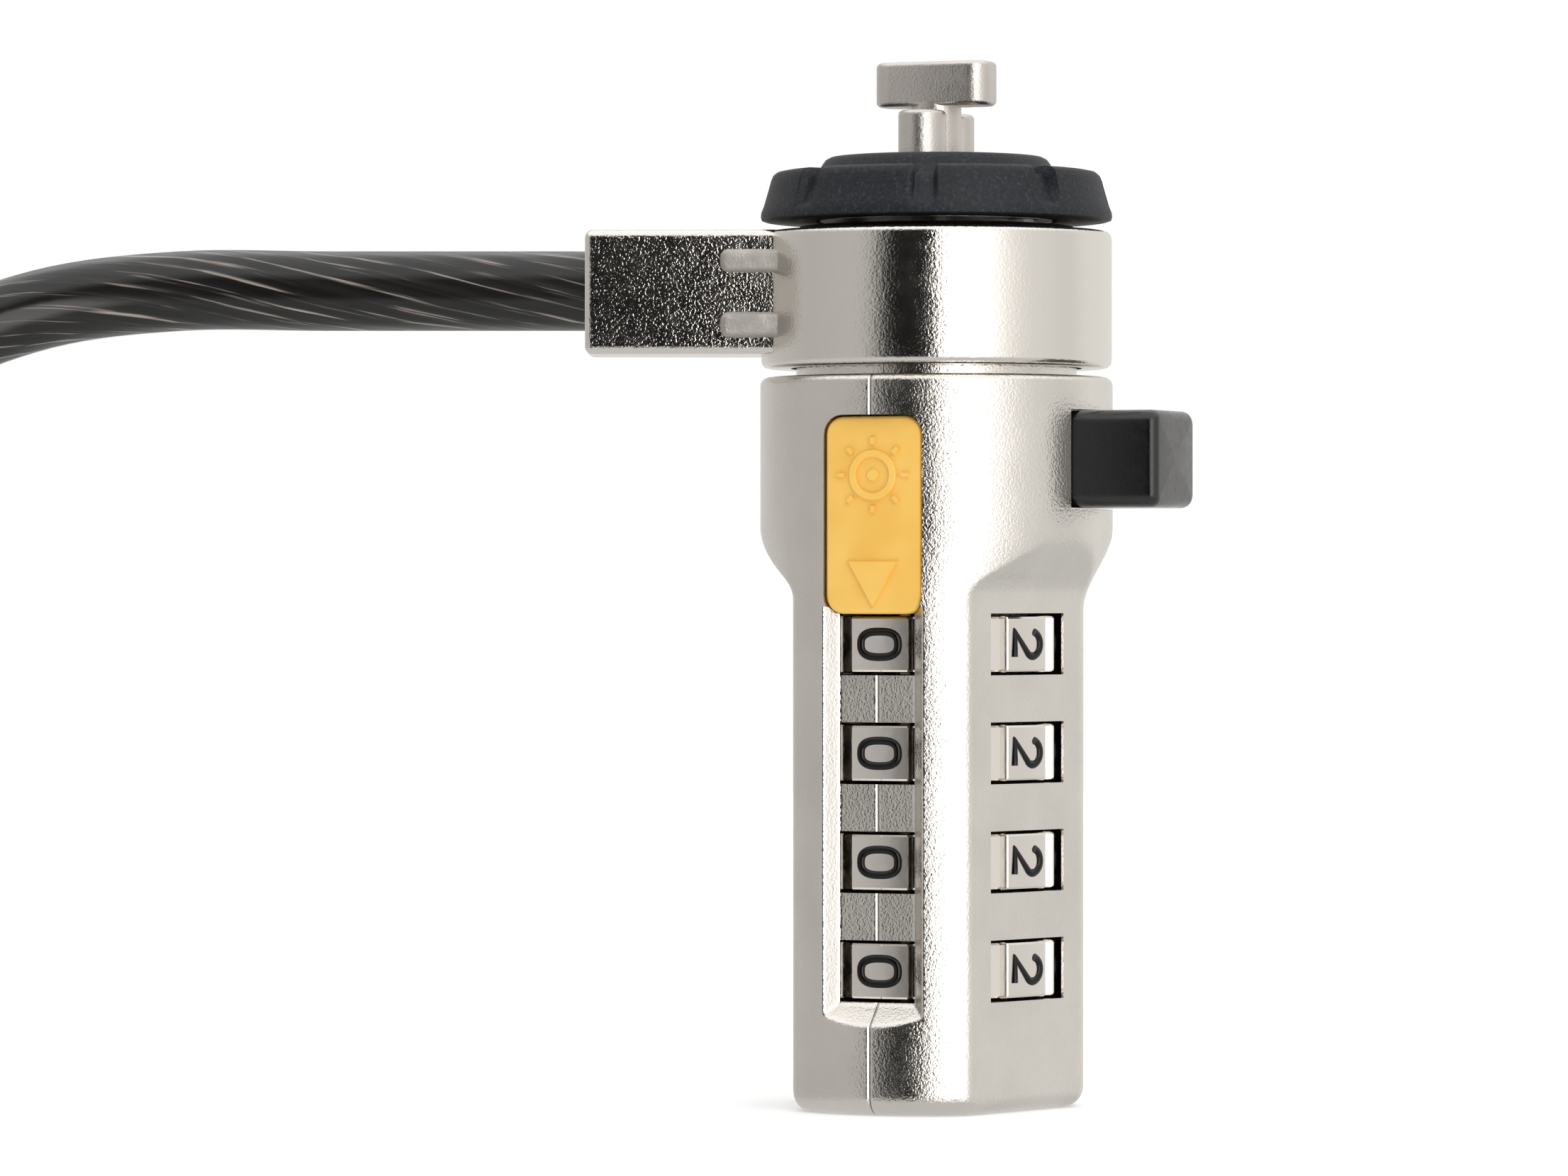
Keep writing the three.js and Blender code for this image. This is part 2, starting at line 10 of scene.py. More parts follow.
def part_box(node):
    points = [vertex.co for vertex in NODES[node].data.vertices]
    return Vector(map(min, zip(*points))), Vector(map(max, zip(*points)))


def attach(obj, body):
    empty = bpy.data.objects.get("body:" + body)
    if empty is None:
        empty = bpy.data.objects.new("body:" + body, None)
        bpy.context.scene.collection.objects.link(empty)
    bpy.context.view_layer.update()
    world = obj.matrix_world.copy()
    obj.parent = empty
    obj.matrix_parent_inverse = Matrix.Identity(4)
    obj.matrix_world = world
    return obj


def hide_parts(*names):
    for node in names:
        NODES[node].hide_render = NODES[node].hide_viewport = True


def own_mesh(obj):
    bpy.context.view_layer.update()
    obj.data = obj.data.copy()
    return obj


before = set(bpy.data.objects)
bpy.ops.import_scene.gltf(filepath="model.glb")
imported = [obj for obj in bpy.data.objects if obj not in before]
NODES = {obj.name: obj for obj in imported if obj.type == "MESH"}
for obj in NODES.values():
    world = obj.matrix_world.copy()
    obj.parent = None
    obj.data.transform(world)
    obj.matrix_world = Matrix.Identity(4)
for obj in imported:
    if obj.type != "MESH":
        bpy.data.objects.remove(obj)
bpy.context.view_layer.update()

MM = 0.001


def corner(node, which):
    """A CAD node's lowest (0) or highest (1) corner, in millimetres."""
    return np.array(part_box(node)[which]) / MM


# Sizes shared with the design, in millimetres and radians
PARTING = math.radians(-23)
WHEEL_AXIS_Y = -1.25
HEAD_RADIUS = 9.55
BODY_RADIUS = 8.4
FACET_ANGLE = math.radians(72)
FACET_DISTANCE = 6.93
BODY_TOP = 39.4
NECK_RADIUS = 7.6
NECK_TOP = 47.57
WHEEL_CENTRES = (25.0, 19.2, 13.4, 7.6)
POCKET_RADIUS = 7.45
POCKET_HALF = 1.65
CHANNEL_FLOOR = 8.45
CHANNEL_HALF = 2.15
CHANNEL_END = 5.9
CHANNEL_TOP = 27.0
SOCKET_HEIGHT = 44.1
SOCKET_END = -19.0
RESET_HEIGHT = 3.1
PLATE_FOOT = 47.87
SCREW_X = 4.9
CABLE_RADIUS = 2.2
COIL = {"x": -116, "y": 20, "inner": 22, "outer": 32, "layers": 4}

# How far out a cutter reaches, to be clear of the casing's skin
PAST_SKIN = 12


# --- camera ---------------------------------------------------------------------------------------

def add_camera():
    """Level, square to the wheels' side, at the height of the lock's middle."""
    distance, middle_x, height = 390, -8.27, 28.0
    seen_width, sensor = 85.08, 36
    camera = bpy.data.cameras.new("camera")
    camera.sensor_width = sensor
    camera.lens = sensor * distance / seen_width
    camera.clip_start = 0.01
    camera.clip_end = 20
    holder = bpy.data.objects.new("camera", camera)
    holder.location = Vector((middle_x, -distance, height)) * MM
    holder.rotation_euler = (math.pi / 2, 0, 0)
    bpy.context.scene.collection.objects.link(holder)
    bpy.context.scene.camera = holder


# --- mesh helpers ---------------------------------------------------------------------------------

def mesh_piece(name, points, faces, tilted=False, sharp=35):
    """A new object from points in millimetres; tilted points are in the casing's own turned frame."""
    points = np.asarray(points, float)
    if tilted:
        c, s = math.cos(PARTING), math.sin(PARTING)
        points = points @ np.array([[c, s, 0], [-s, c, 0], [0, 0, 1]])
    mesh = bpy.data.meshes.new(name)
    mesh.from_pydata((points * MM).tolist(), [], [list(map(int, f)) for f in faces])
    mesh.validate()
    mesh.update()
    piece = bpy.data.objects.new(name, mesh)
    bpy.context.scene.collection.objects.link(piece)
    shade(piece, sharp)
    return piece


def shade(piece, sharp=35):
    """Smooth shading, with edges sharper than this many degrees kept hard."""
    mesh = piece.data
    mesh.polygons.foreach_set("use_smooth", [True] * len(mesh.polygons))
    mesh.set_sharp_from_angle(angle=math.radians(sharp))


def apply_modifiers(piece):
    """Bakes a piece's modifiers into its own mesh."""
    graph = bpy.context.evaluated_depsgraph_get()
    made = bpy.data.meshes.new_from_object(piece.evaluated_get(graph))
    old = piece.data
    piece.modifiers.clear()
    piece.data = made
    bpy.data.meshes.remove(old)


def boolean(piece, tool, operation="DIFFERENCE"):
    """Cuts, joins or crosses a piece with a tool, and deletes the tool."""
    step = piece.modifiers.new("step", "BOOLEAN")
    step.operation = operation
    step.solver = "MANIFOLD"
    step.object = tool
    apply_modifiers(piece)
    mesh = tool.data
    bpy.data.objects.remove(tool)
    bpy.data.meshes.remove(mesh)


def rings_to_mesh(rings, wrap_rows=False):
    """Faces for a stack of rings of equal point counts; ends are closed by a fan unless the rows wrap."""
    rings = [np.asarray(r, float) for r in rings]
    count = len(rings[0])
    points = np.concatenate(rings)
    faces = []
    rows = len(rings)
    for i in range(rows if wrap_rows else rows - 1):
        a = i * count
        b = ((i + 1) % rows) * count
        for j in range(count):
            k = (j + 1) % count
            faces.append((a + j, a + k, b + k, b + j))
    if not wrap_rows:
        low = len(points)
        points = np.vstack([points, rings[0].mean(0), rings[-1].mean(0)])
        last = (rows - 1) * count
        for j in range(count):
            k = (j + 1) % count
            faces.append((low, k, j))
            faces.append((low + 1, last + j, last + k))
    return points, faces


def circle(radius, z, count=64, x=0.0, y=0.0):
    angle = np.linspace(0, 2 * math.pi, count, endpoint=False)
    return np.stack([x + radius * np.cos(angle), y + radius * np.sin(angle), np.full(count, float(z))], 1)


def turned(name, profile, count=96, x=0.0, y=0.0, tilted=False, closed=False, sharp=35):
    """A turned solid about a line along Z: a profile of (radius, z), closed on itself where asked."""
    rings = [circle(r, z, count, x, y) for r, z in profile]
    points, faces = rings_to_mesh(rings, wrap_rows=closed)
    return mesh_piece(name, points, faces, tilted, sharp)


def block(name, x0, x1, y0, y1, z0, z1):
    """A box in the casing's turned frame."""
    points = [(x, y, z) for z in (z0, z1) for x, y in ((x0, y0), (x1, y0), (x1, y1), (x0, y1))]
    faces = [(3, 2, 1, 0), (4, 5, 6, 7), (0, 1, 5, 4), (1, 2, 6, 5), (2, 3, 7, 6), (3, 0, 4, 7)]
    return mesh_piece(name, points, faces, tilted=True)


def prism(name, outline, z0, z1):
    """An outline of (x, y) raised along Z, in the casing's turned frame."""
    count = len(outline)
    points = [(x, y, z) for z in (z0, z1) for x, y in outline]
    faces = [tuple(range(count))[::-1], tuple(range(count, 2 * count))]
    faces += [(j, (j + 1) % count, count + (j + 1) % count, count + j) for j in range(count)]
    return mesh_piece(name, points, faces, tilted=True)


def smoothstep(value, low, high):
    """0 below low, 1 above high, and an S-shaped rise between them."""
    share = np.clip((value - low) / (high - low), 0, 1)
    return share * share * (3 - 2 * share)


def smooth_min(a, b, width):
    """The lesser of two values, with the corner between them rounded over a width."""
    near = np.maximum(width - np.abs(a - b), 0) / width
    return np.minimum(a, b) - near * near * width / 4


# --- the cable ------------------------------------------------------------------------------------

LEAD_ROUTE = [
    (-17, 0, 44.1), (-25, 0, 44.1), (-33, 0, 44.1), (-41, 0, 44.1), (-48.5, -0.3, 43.1),
    (-55.5, -1.2, 40.3), (-61.6, -2.6, 35.9), (-66.4, -4.2, 30), (-69.6, -6, 23.1), (-72.8, -7.8, 16.3),
    (-77.6, -9.4, 10.4), (-83.7, -10.8, 6), (-90.7, -11.7, 3.2), (-98.2, -12, 2.2),
]
TAIL_ROUTE = [
    (-86.1, 24.4, 20.1), (-87.7, 19.2, 20.1), (-90.8, 14.7, 20.1), (-95.1, 11.3, 20.2),
    (-100.2, 9.4, 20.5), (-105.3, 9, 20.8),
]
EYE_ROUTE = [
    (-118.8, 6.8, 20.9), (-122.4, 6.6, 20.9), (-127.4, 4.6, 20.7), (-133.4, 1, 20.4),
    (-139.9, -2, 20.1), (-146.9, -2.2, 20.1), (-152.9, 1.8, 20.1), (-155.4, 9, 20.1),
    (-152.9, 16.2, 20.1), (-146.9, 20.2, 20.1), (-139.9, 20, 20.1), (-133.4, 17, 20.4),
    (-127.4, 13.4, 20.7), (-122.4, 11.4, 20.9), (-118.8, 11.2, 20.9),
]


def coil_turns():
    """Four flat layers, in and out by turns, each stepping up onto the next one."""
    layer_degrees, step_degrees, point_degrees = 810, 80, 10
    rise = 2 * CABLE_RADIUS
    angle = -90.0
    points = []

    def add(radius, z):
        a = math.radians(angle)
        points.append((COIL["x"] + radius * math.cos(a), COIL["y"] + radius * math.sin(a), z))

    for layer in range(COIL["layers"]):
        z = CABLE_RADIUS + rise * layer
        start, end = (COIL["outer"], COIL["inner"]) if layer % 2 == 0 else (COIL["inner"], COIL["outer"])
        count = layer_degrees // point_degrees
        for i in range(count + 1):
            add(start + (end - start) * i / count, z)
            if i < count:
                angle -= point_degrees
        if layer < COIL["layers"] - 1:
            steps = step_degrees // point_degrees
            for i in range(1, steps):
                angle -= point_degrees
                add(end, z + rise * smoothstep(i / steps, 0, 1))
            angle -= point_degrees
    return points


def catmull_rom(points, per_span=8):
    """The uniform Catmull-Rom curve through the points, as in the design."""
    p = np.asarray(points, float)
    ends = np.vstack([2 * p[0] - p[1], p, 2 * p[-1] - p[-2]])
    out = []
    for i in range(len(p) - 1):
        a, b, c, d = ends[i:i + 4]
        for t in np.linspace(0, 1, per_span, endpoint=False):
            out.append(0.5 * (2 * b + (c - a) * t + (2 * a - 5 * b + 4 * c - d) * t ** 2
                              + (3 * b - a - 3 * c + d) * t ** 3))
    out.append(p[-1])
    return np.array(out)


def tube_mesh(name, path, radius, sides=14):
    """A tube with closed ends along path, carrying a UV map: around it, and along it in millimetres."""
    path = np.asarray(path, float)
    tangents = np.gradient(path, axis=0)
    tangents /= np.linalg.norm(tangents, axis=1)[:, None]
    normal = np.cross(tangents[0], (0, 0, 1))
    normal /= np.linalg.norm(normal)
    along = np.concatenate([[0], np.cumsum(np.linalg.norm(np.diff(path, axis=0), axis=1))])
    rings = []
    for point, tangent in zip(path, tangents):
        normal = normal - tangent * normal.dot(tangent)
        normal /= np.linalg.norm(normal)
        side = np.cross(tangent, normal)
        angles = np.linspace(0, 2 * math.pi, sides, endpoint=False)
        rings.append(point + radius * (np.cos(angles)[:, None] * normal + np.sin(angles)[:, None] * side))
    points, faces = rings_to_mesh(rings)
    piece = mesh_piece(name, points, faces, sharp=60)
    layer = piece.data.uv_layers.new(name="along")
    total = len(path) * sides
    for polygon in piece.data.polygons:
        corners = [piece.data.loops[i].vertex_index for i in polygon.loop_indices]
        columns = [v % sides for v in corners if v < total]
        seam = bool(columns) and max(columns) - min(columns) > 1
        for loop, vertex in zip(polygon.loop_indices, corners):
            if vertex >= total:
                layer.data[loop].uv = (0.5, 0.0)
                continue
            column = vertex % sides
            around = (sides if seam and column == 0 else column) / sides
            layer.data[loop].uv = (around, along[vertex // sides])
    return piece


def cable_path():
    """The whole centreline, from the socket arm to the crimp sleeve, in millimetres."""
    coil = coil_turns()
    lift = TAIL_ROUTE[0][2] - coil[-1][2]
    lifted_points, lifted_share = 4, 0.62
    for back in range(1, lifted_points):
        x, y, z = coil[-back]
        share = smoothstep(1 - (back - 1) / lifted_points, 0, 1)
        coil[-back] = (x, y, z + lifted_share * lift * share)
    climb = [(-86.2, 30.4, 19.58)]
    span = 8
    landing = catmull_rom(coil[-2:] + climb + TAIL_ROUTE[:2], span)[span:-span - 1]
    return np.vstack([catmull_rom(LEAD_ROUTE)[:-1], coil[:-1], landing, catmull_rom(TAIL_ROUTE)])


def add_cable():
    jacket = jacket_material()
    path = cable_path()
    cable = tube_mesh("cable", path, CABLE_RADIUS)
    finish_piece(cable, jacket, "swivel", "smoky_jacket", "cable_tube", "cable_coil", "cable_tail")
    eye = tube_mesh("cable_eye", catmull_rom(EYE_ROUTE), CABLE_RADIUS)
    finish_piece(eye, jacket, "swivel", "smoky_jacket", "loop_eye")
    sleeve = crimp_sleeve()
    finish_piece(sleeve, steel_material("crimped_steel", 0.3), "swivel", "steel", "loop_sleeve")
    for piece in (cable, eye, sleeve):
        piece.visible_glossy = False


def crimp_sleeve():
    """The sleeve pressed round the end of the loop, with three grooves about it."""
    low, high = corner("loop_sleeve", 0), corner("loop_sleeve", 1)
    middle = (low + high) / 2
    half = (high - low) / 2
    round_corner, core_corner, depth, groove_half, from_end = 2.9, 2.6, 0.35, 0.5, 2.6
    sleeve = pillow("crimp_sleeve", "x", half[1], half[2], round_corner, low[0], high[0], 0.5, middle)
    for x in np.linspace(low[0] + from_end, high[0] - from_end, 3):
        band = pillow("band", "x", half[1] + 1, half[2] + 1, round_corner, x - groove_half,
                      x + groove_half, 0.1, middle)
        core = pillow("core", "x", half[1] - depth, half[2] - depth, core_corner, low[0] - 1,
                      high[0] + 1, 0.1, middle)
        boolean(band, core)
        boolean(sleeve, band)
    shade(sleeve)
    return sleeve


# --- shared shapes and the finish -------------------------------------------------------------------

def finish_piece(piece, look, body, slot, *nodes):
    """Gives a piece its material and its body, and hides the CAD nodes it stands for; the slot argument is
    not used.
    """
    piece.data.materials.clear()
    piece.data.materials.append(look)
    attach(piece, body)
    if nodes:
        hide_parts(*nodes)


def rounded_outline(half_u, half_v, corner_radius):
    """A rectangle with round corners, counter-clockwise from the middle of its right side."""
    steps = 5
    points = []
    for su, sv, start in ((1, 1, 0), (-1, 1, 90), (-1, -1, 180), (1, -1, 270)):
        for angle in np.radians(np.linspace(start, start + 90, steps + 1)):
            points.append((su * (half_u - corner_radius) + corner_radius * math.cos(angle),
                           sv * (half_v - corner_radius) + corner_radius * math.sin(angle)))
    return np.array(points)


def pillow(name, axis, half_u, half_v, corner_radius, low, high, edge, centre=(0, 0, 0),
           tilted=False, steps=4):
    """A bar of rounded-rectangle section along an axis, with rounded ends. u, v are the next two axes."""
    order = {"x": (1, 2, 0), "y": (2, 0, 1), "z": (0, 1, 2)}[axis]
    rings = []
    levels = [(low, 1, t) for t in np.linspace(0, 90, steps + 1)]
    levels += [(high, -1, t) for t in np.linspace(90, 0, steps + 1)]
    for end, inward, t in levels:
        inset = edge * (1 - math.sin(math.radians(t)))
        level = end + inward * edge * (1 - math.cos(math.radians(t)))
        outline = rounded_outline(half_u - inset, half_v - inset, max(corner_radius - inset, 0.02))
        ring = np.zeros((len(outline), 3))
        ring[:, order[0]] = outline[:, 0] + centre[order[0]]
        ring[:, order[1]] = outline[:, 1] + centre[order[1]]
        ring[:, order[2]] = level
        rings.append(ring)
    points, faces = rings_to_mesh(rings)
    return mesh_piece(name, points, faces, tilted)


def rod_x(name, radius, x0, x1, y, z, tilted=True):
    hair = 0.001
    return pillow(name, "x", radius, radius, radius - hair, x0, x1, hair, (0, y, z), tilted, 1)


def rod_z(name, radius, z0, z1, x=0.0, y=0.0, count=64):
    return turned(name, [(radius, z0), (radius, z1)], count, x, y, tilted=True)


def on_facet(piece, side):
    """Turns a piece made about a facet's normal (local +X) to that facet, in the casing's turned frame."""
    angle = FACET_ANGLE - math.pi / 2
    turn = angle if side > 0 else math.pi - angle
    back = Matrix.Rotation(PARTING, 4, "Z")
    place = Matrix.Translation(Vector((0, WHEEL_AXIS_Y, 0)) * MM) @ Matrix.Rotation(turn, 4, "Z")
    piece.data.transform(back @ place @ back.inverted())
    piece.data.update()
    return piece


# --- materials --------------------------------------------------------------------------------------

class Look:
    """A Principled material whose patterns are placed in millimetres."""

    def __init__(self, name, color, metallic=0.0, roughness=0.5, **sockets):
        self.material = bpy.data.materials.new(name)
        self.material.use_nodes = True
        self.tree = self.material.node_tree
        self.shader = self.tree.nodes["Principled BSDF"]
        self.set("Base Color", (*color, 1))
        self.set("Metallic", metallic)
        self.set("Roughness", roughness)
        for socket, value in sockets.items():
            self.set(socket.replace("_", " "), value)
        self.height = None

    def set(self, socket, value):
        self.shader.inputs[socket].default_value = value

    def node(self, kind, **settings):
        node = self.tree.nodes.new(kind)
        for key, value in settings.items():
            setattr(node, key, value)
        return node

    def link(self, output, target):
        self.tree.links.new(output, target)

    def place(self, stretch=(1, 1, 1)):
        """Object coordinates in millimetres, each axis divided by its stretch."""
        coordinates = self.node("ShaderNodeTexCoord")
        mapping = self.node("ShaderNodeMapping")
        mapping.inputs["Scale"].default_value = [1 / (MM * s) for s in stretch]
        self.link(coordinates.outputs["Object"], mapping.inputs["Vector"])
        return mapping.outputs["Vector"]

    def noise(self, size, detail=2.0, stretch=(1, 1, 1), roughness=0.5):
        noise = self.node("ShaderNodeTexNoise")
        noise.inputs["Scale"].default_value = 1 / size
        noise.inputs["Detail"].default_value = detail
        noise.inputs["Roughness"].default_value = roughness
        self.link(self.place(stretch), noise.inputs["Vector"])
        return noise.outputs["Fac"]

    def ramp(self, value, stops):
        """Value to colour; stops are (position, grey or colour)."""
        ramp = self.node("ShaderNodeValToRGB")
        elements = ramp.color_ramp.elements
        while len(elements) < len(stops):
            elements.new(0.5)
        for element, (position, color) in zip(elements, stops):
            element.position = position
            element.color = (*((color,) * 3 if np.isscalar(color) else color), 1)
        self.link(value, ramp.inputs["Fac"])
        return ramp.outputs["Color"]

    def math(self, operation, *values):
        node = self.node("ShaderNodeMath", operation=operation)
        for socket, value in zip(node.inputs, values):
            if isinstance(value, (int, float)):
                socket.default_value = value
            else:
                self.link(value, socket)
        return node.outputs["Value"]

    def bump(self, height, depth):
        """Adds relief; depth is the height in millimetres of a step from 0 to 1."""
        bump = self.node("ShaderNodeBump")
        bump.inputs["Strength"].default_value = 1.0
        bump.inputs["Distance"].default_value = depth * MM
        self.link(height, bump.inputs["Height"])
        if self.height is not None:
            self.link(self.height, bump.inputs["Normal"])
        self.height = bump.outputs["Normal"]
        self.link(self.height, self.shader.inputs["Normal"])


NICKEL = (0.80, 0.765, 0.715)


def nickel_material(name, grain, depth, roughness, color=NICKEL):
    """Plated die-casting: a fine sandy grain, a slow waviness and uneven polish."""
    look = Look(name, color, 1.0, roughness)
    tint = look.noise(4.0, 3.0)
    darker = tuple(0.93 * c for c in color)
    look.link(look.ramp(tint, [(0.35, darker), (0.65, color)]), look.shader.inputs["Base Color"])
    rub = look.noise(0.9, 3.0)
    look.link(look.ramp(rub, [(0.3, roughness * 0.85), (0.7, roughness * 1.2)]),
              look.shader.inputs["Roughness"])
    look.bump(look.noise(1.6, 2.0), 0.012)
    look.bump(look.noise(grain, 1.5, roughness=0.6), depth)
    return look.material


def ring_material():
    """The ring's bright plating, which turns coarse and sandy on the socket arm."""
    look = Look("ring_nickel", NICKEL, 1.0, 0.13)
    rub = look.noise(0.9, 3.0)
    look.link(look.ramp(rub, [(0.3, 0.10), (0.7, 0.17)]), look.shader.inputs["Roughness"])
    look.bump(look.noise(1.6, 2.0), 0.010)
    look.bump(look.noise(0.15, 1.5, roughness=0.6), 0.016)
    split = look.node("ShaderNodeSeparateXYZ")
    look.link(look.place(), split.inputs["Vector"])
    arm_start, fade = -8.6, 2.0
    reach = look.math("MULTIPLY_ADD", split.outputs["X"], -1 / fade, arm_start / fade)
    on_arm = look.ramp(reach, [(0.0, 0.0), (1.0, 1.0)])
    specks = look.ramp(look.noise(0.14, 1.0, roughness=0.5), [(0.5, 0.0), (0.75, 1.0)])
    look.bump(look.math("MULTIPLY", specks, on_arm), 0.008)
    return look.material


def polished_material(name):
    """Plated wheels: nearly mirror-bright, with faint turning marks and handling haze."""
    roughness = 0.09
    look = Look(name, (0.83, 0.79, 0.74), 1.0, roughness)
    haze = look.noise(0.7, 4.0)
    look.link(look.ramp(haze, [(0.35, roughness * 0.7), (0.7, roughness * 2.0)]),
              look.shader.inputs["Roughness"])
    look.bump(look.noise(0.25, 2.0, stretch=(6, 6, 1)), 0.0012)
    look.bump(look.noise(0.8, 1.0), 0.004)
    return look.material


def steel_material(name, roughness=0.35):
    """Plain steel with fine scratches."""
    look = Look(name, (0.60, 0.59, 0.57), 1.0, roughness)
    scratches = look.noise(0.12, 3.0, stretch=(8, 1, 1))
    look.link(look.ramp(scratches, [(0.3, roughness * 0.7), (0.7, roughness * 1.3)]),
              look.shader.inputs["Roughness"])
    look.bump(scratches, 0.003)
    return look.material


def brass_material():
    """Brass with turning marks, for the lock's inner pieces."""
    look = Look("machined_brass", (0.76, 0.58, 0.30), 1.0, 0.3)
    turning = look.noise(0.1, 3.0, stretch=(6, 6, 1))
    look.link(look.ramp(turning, [(0.3, (0.66, 0.48, 0.24)), (0.7, (0.80, 0.62, 0.34))]),
              look.shader.inputs["Base Color"])
    look.bump(turning, 0.003)
    return look.material


def knob_material():
    """Glossy moulded black plastic with a faint moulding texture."""
    look = Look("black_plastic", (0.006, 0.006, 0.0065), 0.0, 0.22, Coat_Weight=0.3, Coat_Roughness=0.1)
    wear = look.noise(0.5, 4.0)
    look.link(look.ramp(wear, [(0.35, 0.17), (0.7, 0.34)]), look.shader.inputs["Roughness"])
    look.bump(look.noise(0.16, 2.0), 0.006)
    return look.material


def enamel_material():
    """The black paint that fills and stands on the wheels' digits."""
    look = Look("black_enamel", (0.003, 0.003, 0.003), 0.0, 0.12, Specular_IOR_Level=0.35)
    look.bump(look.noise(0.3, 2.0), 0.006)
    look.link(look.ramp(look.noise(0.4, 2.0), [(0.3, 0.08), (0.7, 0.2)]), look.shader.inputs["Roughness"])
    return look.material


def rubber_material():
    """Dull blue-black rubber with a pitted skin and lighter dust."""
    look = Look("washer_rubber", (0.008, 0.010, 0.014), 0.0, 0.55, Specular_IOR_Level=0.4)
    dust = look.noise(0.2, 4.0, roughness=0.75)
    look.link(look.ramp(dust, [(0.35, (0.004, 0.005, 0.008)), (0.55, (0.010, 0.012, 0.017)),
                               (0.75, (0.050, 0.056, 0.066))]), look.shader.inputs["Base Color"])
    look.bump(look.noise(0.13, 3.0), 0.03)
    return look.material


def insert_material():
    """Warm yellow plastic with a soft moulded skin."""
    look = Look("yellow_plastic", (0.90, 0.54, 0.10), 0.0, 0.42)
    cloud = look.noise(3.0, 2.0)
    look.link(look.ramp(cloud, [(0.3, (0.87, 0.50, 0.085)), (0.7, (0.92, 0.58, 0.13))]),
              look.shader.inputs["Base Color"])
    look.link(look.ramp(look.noise(0.5, 3.0), [(0.3, 0.36), (0.7, 0.5)]), look.shader.inputs["Roughness"])
    look.bump(look.noise(0.3, 2.0), 0.003)
    return look.material


def jacket_material():
    """Twisted steel strands under a smoky jacket, drawn on the cable's UV map: lighter strand stripes in the
    base colour, broken by noise into short painted glints, the strands' highlights painted in.
    """
    look = Look("smoky_jacket", (0.01, 0.009, 0.008), 0.0, 0.3, Specular_IOR_Level=0.15, Coat_Weight=0.8,
                Coat_Roughness=0.07)
    strands, lay_length = 17, 52.0
    glints_around, glints_per_mm = 60, 0.16
    uv = look.node("ShaderNodeUVMap", uv_map="along")
    split = look.node("ShaderNodeSeparateXYZ")
    look.link(uv.outputs["UV"], split.inputs["Vector"])
    around, along = split.outputs["X"], split.outputs["Y"]
    twist = look.math("SUBTRACT", around, look.math("DIVIDE", along, lay_length))
    wave = look.math("SINE", look.math("MULTIPLY", twist, 2 * math.pi * strands))
    ridge = look.math("MULTIPLY_ADD", wave, 0.5, 0.5)
    join = look.node("ShaderNodeCombineXYZ")
    look.link(look.math("MULTIPLY", twist, glints_around), join.inputs["X"])
    look.link(look.math("MULTIPLY", along, glints_per_mm), join.inputs["Y"])
    glint_noise = look.node("ShaderNodeTexNoise")
    glint_noise.inputs["Scale"].default_value = 1.0
    glint_noise.inputs["Detail"].default_value = 2.0
    look.link(join.outputs["Vector"], glint_noise.inputs["Vector"])
    # Painted highlights: the strand stripes light up in the base colour only where this noise is high, as
    # painted glints on the near-black jacket.
    glint = look.ramp(glint_noise.outputs["Fac"], [(0.46, 0.05), (0.64, 1.0)])
    painted_strand_glints = look.math("MULTIPLY", look.math("POWER", ridge, 1.8), glint)
    look.link(look.ramp(painted_strand_glints, [(0.0, (0.0040, 0.0036, 0.0032)), (0.3, (0.017, 0.015, 0.013)),
                                (1.0, (0.34, 0.30, 0.27))]), look.shader.inputs["Base Color"])
    look.bump(ridge, 0.02)
    return look.material


# --- casing -----------------------------------------------------------------------------------------

def casing_radius(dx, dy, z):
    """Distance from the head axis to the skin, for local directions (dx, dy), at one height."""
    along = dy * WHEEL_AXIS_Y
    lower = along + np.sqrt(along ** 2 - WHEEL_AXIS_Y ** 2 + BODY_RADIUS ** 2)
    shoulder_low, shoulder_high = 26.8, 31.2
    radius = lower + (HEAD_RADIUS - lower) * smoothstep(z, shoulder_low, shoulder_high)
    flare_start, flare_rise, flare_depth, edge = 28.0, 3.6, 2.3, 0.16
    climb = -smooth_min(-(z - flare_start) / flare_rise, np.float64(0), edge)
    tip = 0.6 * smoothstep(z, 30.8, 32.0)
    flare = flare_depth * math.sin(min(climb, 1) * math.pi / 2) + tip
    for side in (-1, 1):
        nx, ny = side * math.sin(FACET_ANGLE), -math.cos(FACET_ANGLE)
        facing = np.maximum(dx * nx + dy * ny, 0.05)
        radius = smooth_min(radius, (FACET_DISTANCE + flare + WHEEL_AXIS_Y * ny) / facing, edge)
    return radius


def channel_radius(dx, dy, z):
    """The same for the front channel's floor, its 45 degree walls and its sloping lower end."""
    front = np.maximum(-dy, 0.2)
    floor = (CHANNEL_FLOOR + max(CHANNEL_END - z, 0)) / front
    wall = (CHANNEL_FLOOR - CHANNEL_HALF) / np.maximum(front - np.abs(dx), 0.05)
    return -smooth_min(-floor, -wall, 0.12)


def casing_angles():
    """Local directions, closer together at the channel in front and at the seam behind."""
    spans = [(-112, -92, 0.4), (-92, -88, 0.2), (-88, -68, 0.4), (-68, 88, 1.25), (88, 92, 0.2),
             (92, 248, 1.25)]
    return np.radians(np.concatenate([np.arange(a, b - 1e-6, step) for a, b, step in spans]))


